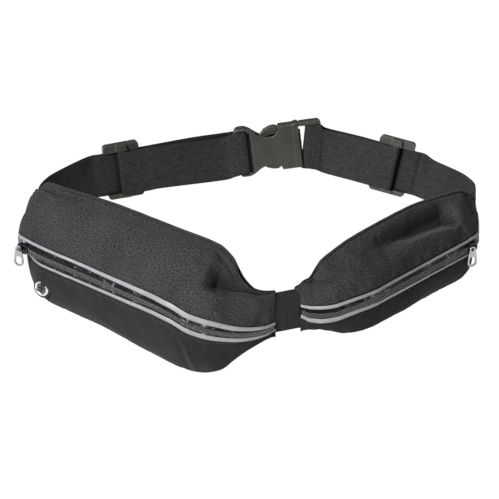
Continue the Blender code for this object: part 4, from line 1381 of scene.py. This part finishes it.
def build_receptacle(placed):
    """Hollow body with a webbing bar at its closed end and a raised collar at its mouth."""
    body = outline_solid(receptacle_outline(), -5, 5, placed)
    inner = RECEPTACLE_BAR - BUCKLE_END
    cuts = [((inner, -20, -19.4), (-26.6, 20, 19.0)), ((-26.0, -20, -19.4), (-22.6, 1.5, 17.0))]
    for low, high in ((BAR_THICK / 2, 20), (-20, -BAR_THICK / 2)):
        cuts.append(((-60, low, -20.4), (-25.0, high, 19.0)))
    cuts.append(((-18, -3.3, -17.8), (30, 3.3, 17.8)))
    for low, high in cuts:
        cut(body, block(low, high, placed))
    collar = rounded([((x, z), 1.2) for x, z in ((17.4, 18.6), (15.0, 18.6), (15.0, -18.6), (17.4, -18.6))])
    rings = [outline_solid(collar, low, low + 1.95, placed) for low in (-5.35, 3.4)]
    item = moulded("receptacle_body", [body, *rings], 0.4, 6, SURFACES["plastic"])
    finish_piece(item, "left_half", "buckle_plastic", "buckle_receptacle")


def build_plug(placed):
    """Open loop with a webbing bar, the arms' root and the tongue between the arms."""
    large, small = 4.2, 1.6
    corners = (((34.3, PLUG_TOP - large), large), ((20.5, PLUG_TOP - small), small),
               ((20.5, PLUG_FOOT + small), small), ((34.3, PLUG_FOOT + large), large))
    body = outline_solid(rounded(corners), -4.2, 4.2, placed)
    cut(body, block((18.0, -20, -17.6), (BUCKLE_END - PLUG_BAR, 20, 16.4), placed))
    for low, high in ((BAR_THICK / 2, 20), (-20, -BAR_THICK / 2)):
        cut(body, block((18.0, low, -40), (60, high, 16.4), placed))
    tongue = [(9, 2.6), (-13, 2.2), (-15.2, 0), (-13, -2.2), (9, -2.6)]
    solids = [body, block((8, -2.25, -12.4), (20, 2.25, 12.4), placed), outline_solid(tongue, -2, 2, placed)]
    item = moulded("plug_body", solids, 0.4, 6, SURFACES["plastic"])
    finish_piece(item, "right_half", "buckle_plastic", "buckle_plug")


def build_latch(name, side, reach, placed, body):
    """A sprung arm with a ridged thumb pad. reach moves the pad out of the receptacle."""
    outline = [
        (18.0, 12.8), (18.0, 16.6), (1.2, 16.6), (1.0, 18.4 + reach), (-2.0, 19.2 + reach),
        (-6.5, 18.8 + reach), (-11.2, 17.0 + reach), (-14.8, 13.6), (-16.4, 10.6), (-13, 10.6),
        (-6, 12.2), (2, 12.6),
    ]
    solids = [outline_solid([(x, side * z) for x, z in outline], -2.2, 2.2, placed)]
    pad = [(0.6, 15.6), (0.2, 18.6), (-2.2, 19.6), (-6.6, 19.1), (-11.4, 17.2), (-14.4, 14.0), (-8.0, 14.6)]
    pad = [(x, z + reach) for x, z in pad]
    solids.append(outline_solid([(x, side * z) for x, z in pad], -3.1, 3.1, placed))
    for k in range(4):
        x = -2.0 - 2.4 * k
        z = 19.45 + reach - 0.07 * (x + 4) ** 2 * (1 if x < -4 else 0)
        ridge = [(x - 0.5, z - 2), (x + 0.5, z - 2), (x + 0.35, z + 0.25), (x - 0.35, z + 0.25)]
        solids.append(outline_solid([(a, side * b) for a, b in ridge], -2.7, 2.7, placed))
    item = moulded(f"{name}_pad", solids, 0.3, 4, SURFACES["plastic"])
    finish_piece(item, body, "buckle_plastic", name)


def build_buckle(buckle):
    placed = buckle.frame()
    build_receptacle(placed)
    build_plug(placed)
    build_latch("buckle_upper_latch_arm", 1, 0.0, placed, "upper_latch")
    build_latch("buckle_lower_latch_arm", -1, -1.2, placed, "lower_latch")


# ---------------------------------------------------------------- studio

def build_studio():
    """Camera, soft light from the left front, and a pale floor far below."""
    scene = bpy.context.scene
    data = bpy.data.cameras.new("camera")
    data.sensor_width = SENSOR
    data.lens = SENSOR * CAMERA_AWAY / (VIEW_WIDTH * MM)
    data.clip_end = 50
    camera = linked("camera", data)
    look = Vector((0, math.cos(CAMERA_RISE), -math.sin(CAMERA_RISE)))
    camera.location = Vector(CAMERA_TARGET) - look * CAMERA_AWAY
    camera.rotation_euler = (math.pi / 2 - CAMERA_RISE, 0, 0)
    scene.camera = camera
    scene.view_settings.view_transform = "Standard"

    world = bpy.data.worlds.new("studio")
    world.use_nodes = True
    background = world.node_tree.nodes["Background"].inputs
    background["Color"].default_value = (1, 1, 1, 1)
    background["Strength"].default_value = 0.15
    scene.world = world
    sun = bpy.data.lights.new("key", "SUN")
    sun.energy = 5.1
    sun.angle = math.radians(24)
    linked("key", sun).rotation_euler = Vector(KEY_DIRECTION).to_track_quat("-Z", "Y").to_euler()

    pale = Surface("floor", 0.9)
    cloudy = pale.noise(pale.place("Object"), 3.0, 2.0)
    pale.to_shader("Base Color", pale.ramp(cloudy, "Fac", [(0.3, 0.93), (0.7, 0.95)]), "Color")
    spread = np.linspace(-FLOOR_REACH, FLOOR_REACH, 9)
    rows = [[(x, y, FLOOR_LEVEL) for x in spread] for y in spread]
    face_out(grid("floor", rows, pale.material), UPRIGHT)


build_studio()
build_panels(BIG, big_upper_press, big_lower_press)
build_panels(SMALL, small_upper_press, small_lower_press)
for pouch, piping_ends in ((BIG, (0.12, 0.975)), (SMALL, (0.07, 0.97))):
    build_back(pouch)
    build_piping(pouch, *piping_ends)
    build_zipper(pouch)
build_slider(BIG, 0.885, 0.60)
build_slider(SMALL, 0.82, 0.60)
build_port(BIG, 0.81, 0.27)
buckle_line = Stretch(BUCKLE_CENTRE, BUCKLE_ALONG, BUCKLE_LEAN, BUCKLE_SKEW)
build_straps(buckle_line)
build_buckle(buckle_line)
